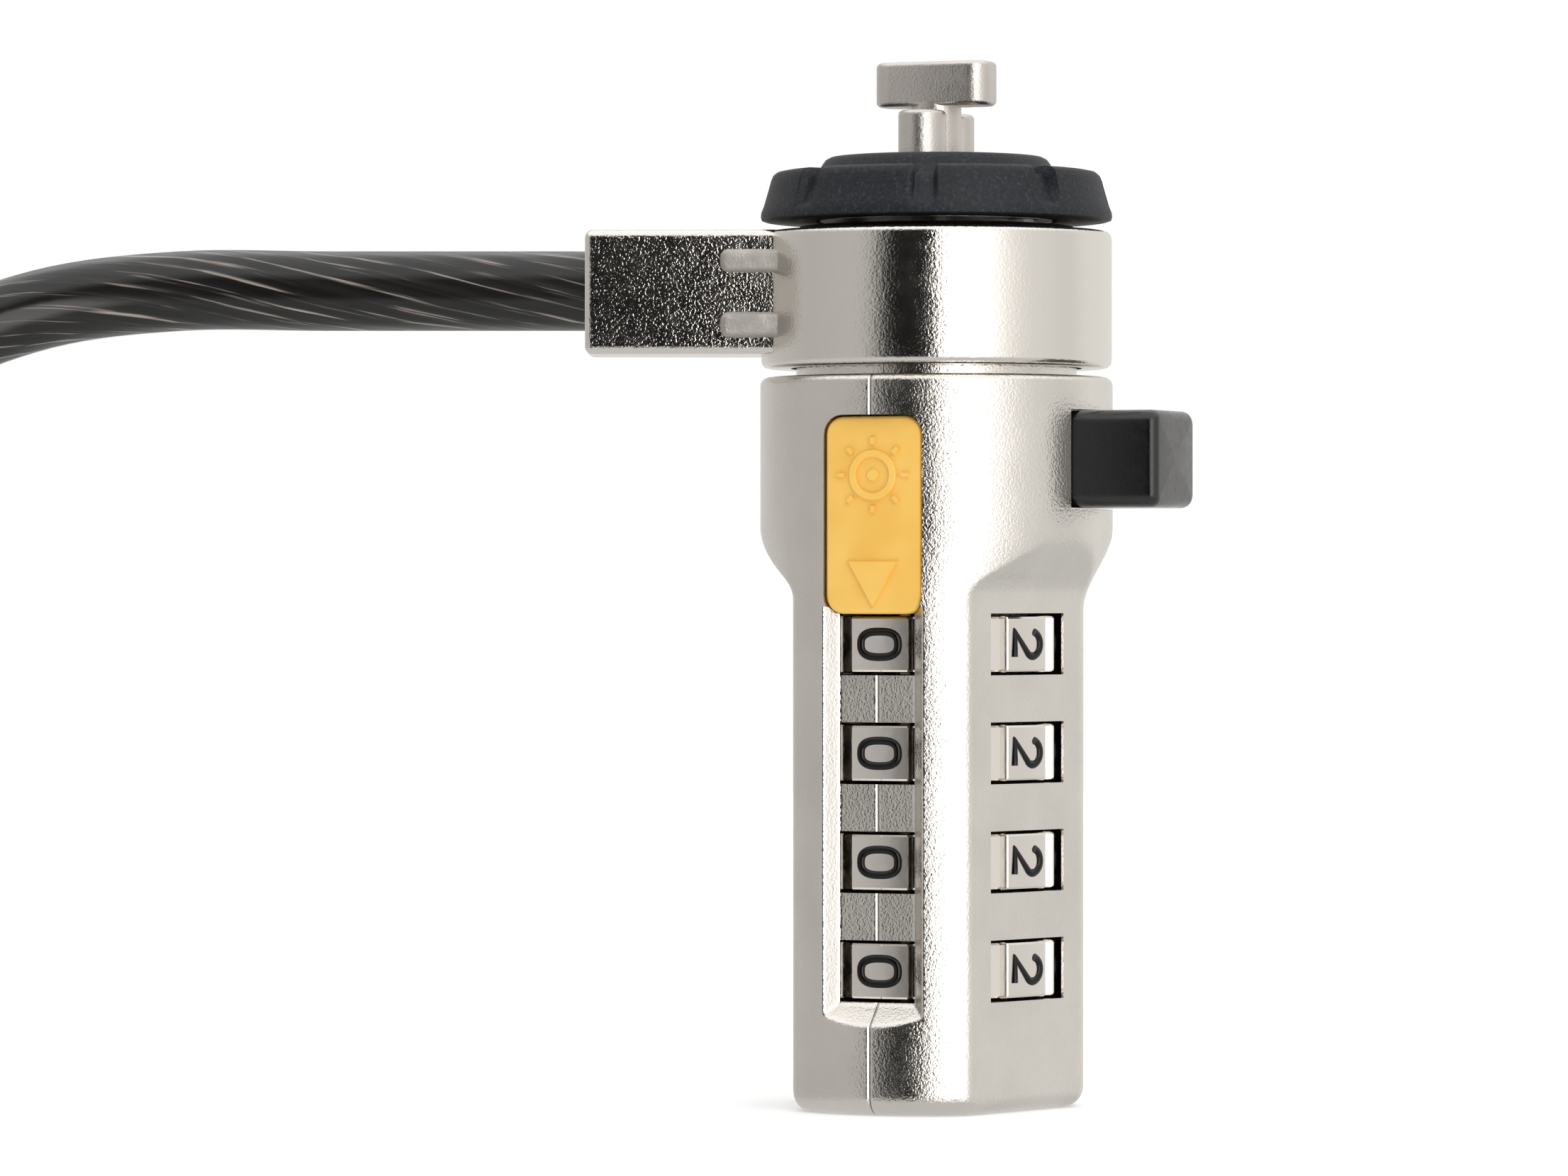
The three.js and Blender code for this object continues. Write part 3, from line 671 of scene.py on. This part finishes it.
def casing_rows():
    """Heights of the skin's rows below the deck, each with its inset at the rounded rims."""
    foot, rim = 1.1, 0.45
    arc_steps = np.radians(np.linspace(0, 90, 7))
    rows = [(foot * (1 - math.cos(t)), foot * (1 - math.sin(t))) for t in arc_steps]
    channel_foot = np.arange(4.2, 6.5, 0.15)
    channel_head = [*np.arange(26.2, 26.95, 0.2), CHANNEL_TOP - 0.01, CHANNEL_TOP + 0.01]
    flare = np.arange(27.2, 32.3, 0.17)
    heights = [*np.arange(2.1, 4.1, 0.9), *channel_foot, *np.arange(7.6, 26, 2.0), *channel_head,
               *flare, *np.arange(33, BODY_TOP - rim, 1.1)]
    rows += [(z, 0.0) for z in heights]
    rows += [(BODY_TOP - rim * (1 - math.sin(t)), rim * (1 - math.cos(t))) for t in arc_steps]
    return rows


def casing_skin():
    """The casing's outside as one closed solid, with its channel, seam grooves, deck and neck."""
    angles = casing_angles()
    dx, dy = np.cos(angles), np.sin(angles)
    seam_depth, seam_width, lip, neck_edge, nowhere = 0.09, 0.08, 0.1, 0.2, 99.0
    rings = []

    def add(radius, z):
        rings.append(np.stack([radius * dx, radius * dy, np.full(len(dx), z)], 1))

    for z, inset in casing_rows():
        radius = casing_radius(dx, dy, z) - inset
        if z < CHANNEL_TOP:
            radius = smooth_min(radius, np.where(dy < 0, channel_radius(dx, dy, z), nowhere), lip)
        add(radius - seam_depth * np.exp(-(dx * radius / seam_width) ** 2), z)
    for radius, z in ((NECK_RADIUS, BODY_TOP), (NECK_RADIUS, NECK_TOP - neck_edge),
                      (NECK_RADIUS - neck_edge, NECK_TOP)):
        add(np.full(len(dx), radius), z)
    points, faces = rings_to_mesh(rings)
    return mesh_piece("casing", points, faces, tilted=True, sharp=50)


def lever_slot():
    """The room the lever sweeps between its two limits, a hair larger than the knob."""
    half, inner, low, high = 3.17, 5.5, 32.24, 37.56
    outline = [(PAST_SKIN * math.cos(t), PAST_SKIN * math.sin(t)) for t in np.radians(np.linspace(0, 90, 13))]
    outline += [(-half, PAST_SKIN), (-half, inner), (0, 0), (inner, -half), (PAST_SKIN, -half)]
    return prism("slot", outline, low, high)


def inner_cutters():
    """The rooms along the axes: for the plug, the spindle, its spring, the hub and the shaft."""
    axis = WHEEL_AXIS_Y
    plug_top, spindle_top, spring_top, hub_top = 1.5, 28.3, 30.7, 38.4
    overlap = 0.1
    return [
        rod_z("plug", 4.8, -1, plug_top, 0, axis),
        rod_z("spindle", 1.9, plug_top - overlap, spindle_top, 0, axis),
        block("fins", -1, 1, axis, 1.85, 5.1, 27.5),
        rod_z("spring", 3.3, spindle_top - overlap, spring_top, 0, axis),
        block("lug", -1.1, 1.1, axis, 4.9, 29.6, spring_top),
        rod_z("hub", 7.0, spring_top - overlap, hub_top),
        rod_z("shaft", 2.5, hub_top - overlap, 49.0),
    ]


def wheel_cutters(z):
    """One wheel's pocket, its windows in the channel and both facets, and its click ball's hole."""
    low, high = z - POCKET_HALF, z + POCKET_HALF
    facet_half, ball_radius, ball_x = 3.08, 0.95, -5.3
    cutters = [
        rod_z("pocket", POCKET_RADIUS, low, high, 0, WHEEL_AXIS_Y, 96),
        block("window", -CHANNEL_HALF, CHANNEL_HALF, -PAST_SKIN, -5, low, high),
        rod_z("ball", ball_radius, low - 2, low + 0.1, ball_x, WHEEL_AXIS_Y, 24),
    ]
    for side in (-1, 1):
        window = block("window", 5, PAST_SKIN, -facet_half, facet_half, low, high)
        cutters.append(on_facet(window, side))
    return cutters


def casing_cutters():
    """All the casing's openings as closed pieces."""
    pocket_deep, pocket_corner, pocket_half = -7.9, 1.1, (5.35, 2.82)
    dowel_radius, dowel_half, dowel_y = 1.05, 4.3, 3.95
    pocket = pillow("insert", "y", *pocket_half, pocket_corner, -PAST_SKIN, pocket_deep, 0.05,
                    (0, 0, 31.86), tilted=True)
    cutters = inner_cutters() + [lever_slot(), pocket]
    for z in WHEEL_CENTRES:
        cutters += wheel_cutters(z)
    cutters += [rod_x("dowel", dowel_radius, -dowel_half, dowel_half, dowel_y, z) for z in (22.1, 16.3, 10.5)]
    cutters += [rod_z("screw", 1.0, 42.7, 49, x, 0, 24) for x in (-SCREW_X, SCREW_X)]
    cutters.append(on_facet(rod_x("reset", 0.9, 2.6, PAST_SKIN, 0, RESET_HEIGHT), -1))
    return cutters


def add_casing(look):
    """The two shells, cut apart along the seam with a hair's gap."""
    seam, beyond, above = 0.02, 20, 60
    casing = casing_skin()
    for cutter in casing_cutters():
        boolean(casing, cutter)
    for side, name in ((-1, "left"), (1, "right")):
        half = casing if side > 0 else casing.copy()
        if side < 0:
            half.data = casing.data.copy()
            bpy.context.scene.collection.objects.link(half)
        keep = block("keep", *sorted((side * seam, side * beyond)), -beyond, beyond, -1, above)
        boolean(half, keep, "INTERSECT")
        half.name = half.data.name = name + "_casing"
        shade(half, 40)
        finish_piece(half, look, "lock_body", "satin_nickel", name + "_shell")


# --- number wheels ------------------------------------------------------------------------------------

APOTHEM = 6.9
FLAT_HALF = 1.64
WHEEL_HALF = 1.5
DIGIT_STEP = 36


def wheel_outline(inset):
    """Ten crowned flats with a groove between each two."""
    flat_angle = math.atan2(FLAT_HALF, APOTHEM)
    groove_angle, step = math.radians(15.0), math.radians(DIGIT_STEP)
    crown, groove_floor, lip = 0.05, 6.68, APOTHEM + 0.13
    inside, outside = 0.008, 0.002
    points = []
    for digit in range(10):
        middle = math.radians(DIGIT_STEP * digit - 90)
        for share in np.linspace(-1, 1, 9):
            angle = share * (flat_angle - inside)
            radius = (APOTHEM + crown * (1 - share * share)) / math.cos(angle)
            points.append((radius - inset, middle + angle))
        points.append((lip - inset, middle + flat_angle + outside))
        for angle in (groove_angle, step - groove_angle):
            points.append((groove_floor - inset, middle + angle))
        points.append((lip - inset, middle + step - flat_angle - outside))
    return [(r * math.cos(a), r * math.sin(a)) for r, a in points]


def wheel_body(name, z):
    """A wheel with rounded rims, bored and keyed for its code sleeve."""
    chamfer, sharp = 0.14, 14
    bore, key_reach, key_half = 4.6, 5.2, 0.9
    through_low, through_high = z - 2 * WHEEL_HALF, z + 2 * WHEEL_HALF
    rim = [(WHEEL_HALF, chamfer), (WHEEL_HALF - 0.04, 0.06), (WHEEL_HALF - chamfer, 0)]
    rings = []
    for height, inset in [(-h, inset) for h, inset in rim] + rim[::-1]:
        rings.append([(x, y + WHEEL_AXIS_Y, z + height) for x, y in wheel_outline(inset)])
    points, faces = rings_to_mesh(rings)
    wheel = mesh_piece(name, points, faces, tilted=True, sharp=sharp)
    boolean(wheel, rod_z("bore", bore, through_low, through_high, 0, WHEEL_AXIS_Y))
    boolean(wheel, block("keyways", -key_reach, key_reach, -key_half + WHEEL_AXIS_Y,
                         key_half + WHEEL_AXIS_Y, through_low, through_high))
    shade(wheel, sharp)
    return wheel


def oval(x, y, rx, ry, start, end, power=2.0, steps=18):
    """Points on part of an oval; a power over 2 squares its corners."""
    points = []
    for t in np.radians(np.linspace(start, end, steps + 1)):
        c, s = math.cos(t), math.sin(t)
        points.append((x + rx * math.copysign(abs(c) ** (2 / power), c),
                       y + ry * math.copysign(abs(s) ** (2 / power), s)))
    return points


def digit_strokes(digit):
    """A digit's centrelines in a unit square, each with True where it closes on itself."""
    six = [(oval(0, -0.19, 0.5, 0.31, 0, 350), True), (oval(0.12, -0.12, 0.62, 0.62, 186, 68), False)]
    return {
        0: [(oval(0, 0, 0.5, 0.5, 0, 355, 2.7, 30), True)],
        1: [([(-0.3, 0.26), (0.05, 0.5), (0.05, -0.5)], False)],
        2: [(oval(0, 0.2, 0.48, 0.3, 168, -38) + [(-0.5, -0.5), (0.5, -0.5)], False)],
        3: [(oval(0, 0.25, 0.44, 0.25, 150, -90) + oval(0, -0.25, 0.5, 0.25, 88, -150), False)],
        4: [([(0.22, -0.5), (0.22, 0.5), (-0.5, -0.2), (0.5, -0.2)], False)],
        5: [([(0.42, 0.5), (-0.36, 0.5), (-0.42, 0.04)] + oval(0, -0.17, 0.5, 0.33, 128, -150), False)],
        6: six,
        7: [([(-0.48, 0.5), (0.48, 0.5), (-0.1, -0.5)], False)],
        8: [(oval(0, 0.26, 0.4, 0.24, 0, 350), True), (oval(0, -0.24, 0.5, 0.26, 0, 350), True)],
        9: [([(-x, -y) for x, y in points], closed) for points, closed in six],
    }[digit]


def digits_piece(name, z):
    """The ten raised digits of one wheel, as round beads partly sunk in its flats."""
    bead, sunk, crown = 0.25, 0.1, 0.04
    width, height = 1.36, 2.12
    c, s = math.cos(PARTING), math.sin(PARTING)
    curve = bpy.data.curves.new(name, "CURVE")
    curve.dimensions = "3D"
    curve.bevel_depth = bead * MM
    curve.bevel_resolution = 3
    curve.use_fill_caps = True
    for digit in range(10):
        angle = math.radians(DIGIT_STEP * digit - 90)
        normal = np.array([math.cos(angle), math.sin(angle), 0])
        up = np.array([-math.sin(angle), math.cos(angle), 0])
        centre = np.array([0, WHEEL_AXIS_Y, z]) + (APOTHEM + crown - sunk) * normal
        for points, closed in digit_strokes(digit):
            spline = curve.splines.new("POLY")
            spline.points.add(len(points) - 1)
            spline.use_cyclic_u = closed
            for target, (u, v) in zip(spline.points, points):
                x, y, level = centre + v * height * up - u * width * np.array([0, 0, 1])
                target.co = ((c * x - s * y) * MM, (s * x + c * y) * MM, level * MM, 1)
    holder = bpy.data.objects.new(name, curve)
    bpy.context.scene.collection.objects.link(holder)
    graph = bpy.context.evaluated_depsgraph_get()
    mesh = bpy.data.meshes.new_from_object(holder.evaluated_get(graph))
    bpy.data.objects.remove(holder)
    bpy.data.curves.remove(curve)
    piece = bpy.data.objects.new(name, mesh)
    bpy.context.scene.collection.objects.link(piece)
    shade(piece, 50)
    return piece


def add_wheels():
    metal, enamel = polished_material("polished_nickel"), enamel_material()
    for number, z in enumerate(WHEEL_CENTRES, 1):
        node = f"wheel_{number}"
        finish_piece(wheel_body(node + "_rim", z), metal, node, "polished_nickel", node)
        finish_piece(digits_piece(node + "_digits", z), enamel, node, "black_plastic")


# --- marker insert ------------------------------------------------------------------------------------

def raised(name, outline, y, height, inset):
    """A low shape on the insert's face, from an (x, z) outline that runs counter-clockwise."""
    outline = np.array(outline, float)
    middle = outline.mean(0)
    rings = []
    for depth, share in ((0.3, 0), (-0.5 * height, 0), (-height, 1)):
        reach = np.linalg.norm(outline - middle, axis=1)[:, None]
        flat = outline - (outline - middle) / reach * inset * share
        rings.append(np.stack([flat[:, 0], np.full(len(flat), y + depth), flat[:, 1]], 1))
    points, faces = rings_to_mesh(rings)
    return mesh_piece(name, points, faces, tilted=True)


def dial_shapes(face, middle):
    """A plain dial about (0, middle): a ring, eight ticks and a dot, raised from the face."""
    buried, ledge, height = 0.3, 0.16, 0.22
    profile = [(0.95, buried), (0.95, -ledge), (1.0, -height), (1.3, -height), (1.35, -ledge), (1.35, buried)]
    angles = np.linspace(0, 2 * math.pi, 48, endpoint=False)
    rings = [np.stack([r * np.cos(angles), np.full(48, face + depth), middle + r * np.sin(angles)], 1)
             for r, depth in profile]
    shapes = [mesh_piece("dial", *rings_to_mesh(rings, wrap_rows=True), tilted=True)]
    tick_from, tick_to, tick_half, dot_radius = 1.6, 2.05, 0.13, 0.34
    for a in np.arange(8) * math.pi / 4:
        along, across = np.array([math.cos(a), math.sin(a)]), np.array([-math.sin(a), math.cos(a)])
        corners = [np.array([0, middle]) + along * r + across * s * tick_half
                   for r, s in ((tick_from, -1), (tick_to, -1), (tick_to, 1), (tick_from, 1))]
        shapes.append(raised("tick", corners, face, height, 0.05))
    dot = [(dot_radius * math.cos(t), middle + dot_radius * math.sin(t))
           for t in np.linspace(0, 2 * math.pi, 24, endpoint=False)]
    shapes.append(raised("dot", dot, face, height, 0.08))
    return shapes


def add_insert():
    """The yellow insert: a plain arrow down to the digits, and a plain dial above it."""
    half, bottom, top, face, back = 2.74, 26.62, 37.12, -9.05, -8.2
    arrow_half, arrow_top, arrow_tip = 1.45, 29.45, 26.95
    plate = pillow("marker", "y", (top - bottom) / 2, half, 0.95, face, back, 0.22,
                   (0, 0, (top + bottom) / 2), tilted=True)
    arrow = [(-arrow_half, arrow_top), (0, arrow_tip), (arrow_half, arrow_top)]
    for shape in [raised("arrow", arrow, face, 0.24, 0.12)] + dial_shapes(face, 34.0):
        boolean(plate, shape, "UNION")
    shade(plate, 30)
    finish_piece(plate, insert_material(), "lock_body", "yellow_plastic", "marker_insert")


# --- head: T-bar, posts, washer, ring and knob ------------------------------------------------------

def add_t_bar(look):
    """The locking bar on its round shaft, which is thicker below the neck's top."""
    head = pillow("locking_bar", "z", 3.3, 1.35, 1.05, 54.1, 56.5, 0.28, tilted=True, steps=5)
    stem = turned("stem", [(2.2, 35.2), (2.2, NECK_TOP), (1.35, NECK_TOP), (1.35, 55)], 48, tilted=True)
    boolean(head, stem, "UNION")
    shade(head, 30)
    finish_piece(head, look, "rotor", "dark_nickel", "t_bar")


def add_posts(look):
    """The screwed flange with its two anti-twist posts, round the T-bar's shaft."""
    post_radius, post_y, post_top, soft = 1.3, 2.05, 53.8, 0.3
    corner_angles = np.radians(np.linspace(0, 90, 6))
    edge = [(post_radius - soft * (1 - math.cos(t)), post_top - soft + soft * math.sin(t))
            for t in corner_angles]
    plate = turned("slot_posts", [(6.3, PLATE_FOOT), (6.3, 49.1), (6.1, 49.3)], 64, tilted=True)
    for y in (-post_y, post_y):
        boolean(plate, turned("post", [(post_radius, 49.0)] + edge, 40, 0, y, tilted=True), "UNION")
    boolean(plate, rod_z("hole", 1.5, 47, 60))
    for x in (-SCREW_X, SCREW_X):
        boolean(plate, rod_z("hole", 1.0, 47, 50, x, 0, 24))
        boolean(plate, rod_z("head", 1.25, 48.6, 50, x, 0, 24))
    shade(plate, 30)
    finish_piece(plate, look, "lock_body", "dark_nickel", "post_plate")


def add_washer():
    """The rubber washer: eight lobes parted by shallow notches, about a raised cone."""
    count, first_notch, pitch = 480, -95.5, 45
    notch_floor, notch_edge = 3.3, 4.6
    angles = np.linspace(0, 2 * math.pi, count, endpoint=False)
    off = np.abs((np.degrees(angles) - first_notch + pitch / 2) % pitch - pitch / 2)
    notch = 1 - smoothstep(off, notch_floor, notch_edge)
    # radius, height, and how far each gives way in a notch
    profile = [
        (6.6, PLATE_FOOT, 0, 0), (9.3, PLATE_FOOT, 0, 0), (9.48, 47.93, 0, 0),
        (9.53, 48.1, 0, 0), (9.5, 48.35, 0, 0),
        (9.36, 48.7, 0.35, 0), (9.1, 49.6, 0.6, 0), (8.98, 50.05, 0.7, 0.15), (8.86, 50.34, 0.7, 0.3),
        (8.66, 50.5, 0.6, 0.4), (8.35, 50.56, 0.4, 0.5), (7.6, 50.56, 0.1, 0.5), (7.2, 50.46, 0, 0.4),
        (6.85, 50.2, 0, 0.1), (6.7, 50.14, 0, 0), (6.15, 51.0, 0, 0), (6.0, 51.2, 0, 0), (5.75, 51.33, 0, 0),
        (4.0, 51.35, 0, 0), (3.75, 51.25, 0, 0), (3.7, 51.0, 0, 0), (3.7, 49.6, 0, 0), (6.6, 49.6, 0, 0),
    ]
    rings = []
    for r, z, narrower, lower in profile:
        radius = r - narrower * notch
        rings.append(np.stack([radius * np.cos(angles), radius * np.sin(angles), z - lower * notch], 1))
    points, faces = rings_to_mesh(rings, wrap_rows=True)
    washer = mesh_piece("lobed_washer", points, faces, sharp=48)
    finish_piece(washer, rubber_material(), "lock_body", "black_rubber", "washer")


def add_ring(look):
    """The swivel ring with its socket arm, ribs and cable bore."""
    outer, bore, low, high, soft = 9.5, 7.9, 39.9, 47.3, 0.4
    profile = [(bore, low), (outer - soft, low)]
    for centre, angles in ((low + soft, (-60, -30, 0)), (high - soft, (0, 30, 60, 90))):
        profile += [(outer - soft + soft * math.cos(t), centre + soft * math.sin(t))
                    for t in np.radians(angles)]
    profile += [(bore, high)]
    ring = turned("cable_ring", profile, 160, closed=True, sharp=50)
    arm_root, taper = -8.4, 0.017
    arm = pillow("arm", "x", 3.5, 3.35, 0.5, SOCKET_END, arm_root, 0.4, (0, 0, 43.95))
    for vertex in arm.data.vertices:
        vertex.co.y *= 1 - taper * (arm_root - vertex.co.x / MM)
    boolean(arm, turned("core", [(8.6, 39), (8.6, 48)], 128))
    boolean(ring, arm, "UNION")
    boolean(ring, rod_x("cable_bore", 2.35, -20, -9.9, 0, SOCKET_HEIGHT, tilted=False))
    shade(ring, 40)
    finish_piece(ring, look, "swivel", "satin_nickel", "swivel_ring")
    rib_half, rib_middle = 2.25, -9.45
    ribs = [pillow("cable_ring_ribs", "y", half, rib_half, 0.45, -4.0, -3.1, 0.3, (rib_middle, 0, z))
            for z, half in ((45.6, 0.62), (42.15, 0.68))]
    boolean(ribs[0], ribs[1], "UNION")
    rib_look = nickel_material("rib_nickel", 0.13, 0.022, 0.62, (0.58, 0.55, 0.52))
    finish_piece(ribs[0], rib_look, "swivel", "satin_nickel")


def add_knob():
    """The lever's knob, a softened block through the slot."""
    knob = pillow("lever_cap", "x", 3.1, 2.6, 0.75, 7.4, 13.8, 0.55, (0, 0, 34.9), tilted=True, steps=6)
    finish_piece(knob, knob_material(), "rotor", "black_plastic", "lever_knob")


def add_spring(look):
    """The spring under the spindle's head, built as a fixed coil; the real one is pressed together as the
    lever turns.
    """
    wire, radius, turns, stroke = 0.22, 2.4, 3.5, 3.2
    low, high = corner("spindle_spring", 0)[2], corner("spindle_spring", 1)[2]
    x, y = -WHEEL_AXIS_Y * math.sin(PARTING), WHEEL_AXIS_Y * math.cos(PARTING)
    share = np.linspace(0, 1, 120)
    angle = 2 * math.pi * turns * share
    z = low + wire + (high - low - 2 * wire) * share
    path = np.stack([x + radius * np.cos(angle), y + radius * np.sin(angle), z], 1)
    spring = tube_mesh("spindle_coil_spring", path, wire, 10)
    finish_piece(spring, look, "lock_body", "steel", "spindle_spring")
    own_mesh(spring)


# --- light, floor and the parts kept as designed ------------------------------------------------------

def dress_inner_parts():
    """Materials for the CAD nodes that stay as they are."""
    brass, steel = brass_material(), steel_material("steel")
    plug = nickel_material("plug_nickel", 0.12, 0.004, 0.3)
    brass_parts = ("spindle", "cam_hub", "code_sleeve")
    for name, node in NODES.items():
        if node.hide_render:
            continue
        look = brass if name.startswith(brass_parts) else steel
        if name == "base_plug":
            look = plug
        for slot in node.material_slots:
            slot.material = look


def add_world():
    """A ring of studio panels by direction: a dark flag left of the camera, a bright one right of it."""
    world = bpy.data.worlds.new("studio")
    bpy.context.scene.world = world
    world.use_nodes = True
    tree = world.node_tree
    tree.nodes.clear()
    new = tree.nodes.new

    def calc(operation, *values):
        node = new("ShaderNodeMath")
        node.operation = operation
        for socket, value in zip(node.inputs, values):
            if isinstance(value, (int, float)):
                socket.default_value = value
            else:
                tree.links.new(value, socket)
        return node.outputs["Value"]

    def ramp_up(value, slope, start):
        return calc("MINIMUM", calc("MAXIMUM", calc("MULTIPLY_ADD", value, slope, start), 0.0), 1.0)

    def blend(share, first, grey):
        mix = new("ShaderNodeMixRGB")
        mix.inputs["Color2"].default_value = (*grey, 1)
        tree.links.new(share, mix.inputs["Fac"])
        tree.links.new(first, mix.inputs["Color1"])
        return mix.outputs["Color"]

    direction = new("ShaderNodeTexCoord").outputs["Generated"]
    split = new("ShaderNodeSeparateXYZ")
    tree.links.new(direction, split.inputs["Vector"])
    x, y, z = split.outputs
    azimuth = calc("ARCTAN2", x, calc("MULTIPLY", y, -1.0))
    turn = calc("MULTIPLY_ADD", azimuth, 1 / (2 * math.pi), 0.5)
    # degrees to the right of the camera, and brightness
    panels = [(-180, 0.8), (-130, 0.6), (-95, 0.52), (-53, 0.56), (-44, 0.46), (-37, 0.14),
              (-32, 0.015), (-1.4, 0.01), (1.2, 2.5), (27, 2.5), (35, 1.5), (46, 1.1), (60, 0.85),
              (98, 0.74), (114, 0.85), (140, 0.85), (180, 0.8)]
    ramp = new("ShaderNodeValToRGB")
    elements = ramp.color_ramp.elements
    while len(elements) < len(panels):
        elements.new(0.5)
    for element, (degrees, value) in zip(elements, panels):
        element.position = (degrees + 180) / 360
        element.color = (value, value * 0.985, value * 0.965, 1)
    tree.links.new(turn, ramp.inputs["Fac"])
    lit = blend(ramp_up(z, 4.0, -2.0), ramp.outputs["Color"], (1.25, 1.25, 1.25))
    lit = blend(ramp_up(z, -4.0, -1.2), lit, (0.66, 0.66, 0.65))
    camera_ray = new("ShaderNodeLightPath").outputs["Is Camera Ray"]
    seen = blend(camera_ray, lit, (1, 1, 1))
    background = new("ShaderNodeBackground")
    tree.links.new(seen, background.inputs["Color"])
    output = new("ShaderNodeOutputWorld")
    tree.links.new(background.outputs["Background"], output.inputs["Surface"])


def add_floor():
    """A pale surface just under the object, left out of its reflections."""
    half, gap = 600, 0.02
    points = [(-half, -half, 0), (half, -half, 0), (half, half, 0), (-half, half, 0)]
    floor = mesh_piece("floor", points, [(0, 1, 2, 3)])
    floor.location.z = -gap * MM
    look = Look("floor", (0.95, 0.95, 0.95), 0.0, 0.9, Emission_Color=(1, 1, 1, 1), Emission_Strength=0.22)
    floor.data.materials.append(look.material)
    floor.visible_glossy = False


add_camera()
add_cable()
add_casing(nickel_material("satin_nickel", 0.13, 0.025, 0.2))
add_wheels()
add_insert()
dark_nickel = nickel_material("dark_nickel", 0.12, 0.018, 0.34, (0.70, 0.66, 0.62))
add_t_bar(dark_nickel)
add_posts(dark_nickel)
add_washer()
add_ring(ring_material())
add_knob()
add_spring(steel_material("spring_steel"))
dress_inner_parts()
add_world()
add_floor()
bpy.context.scene.view_settings.view_transform = "Standard"
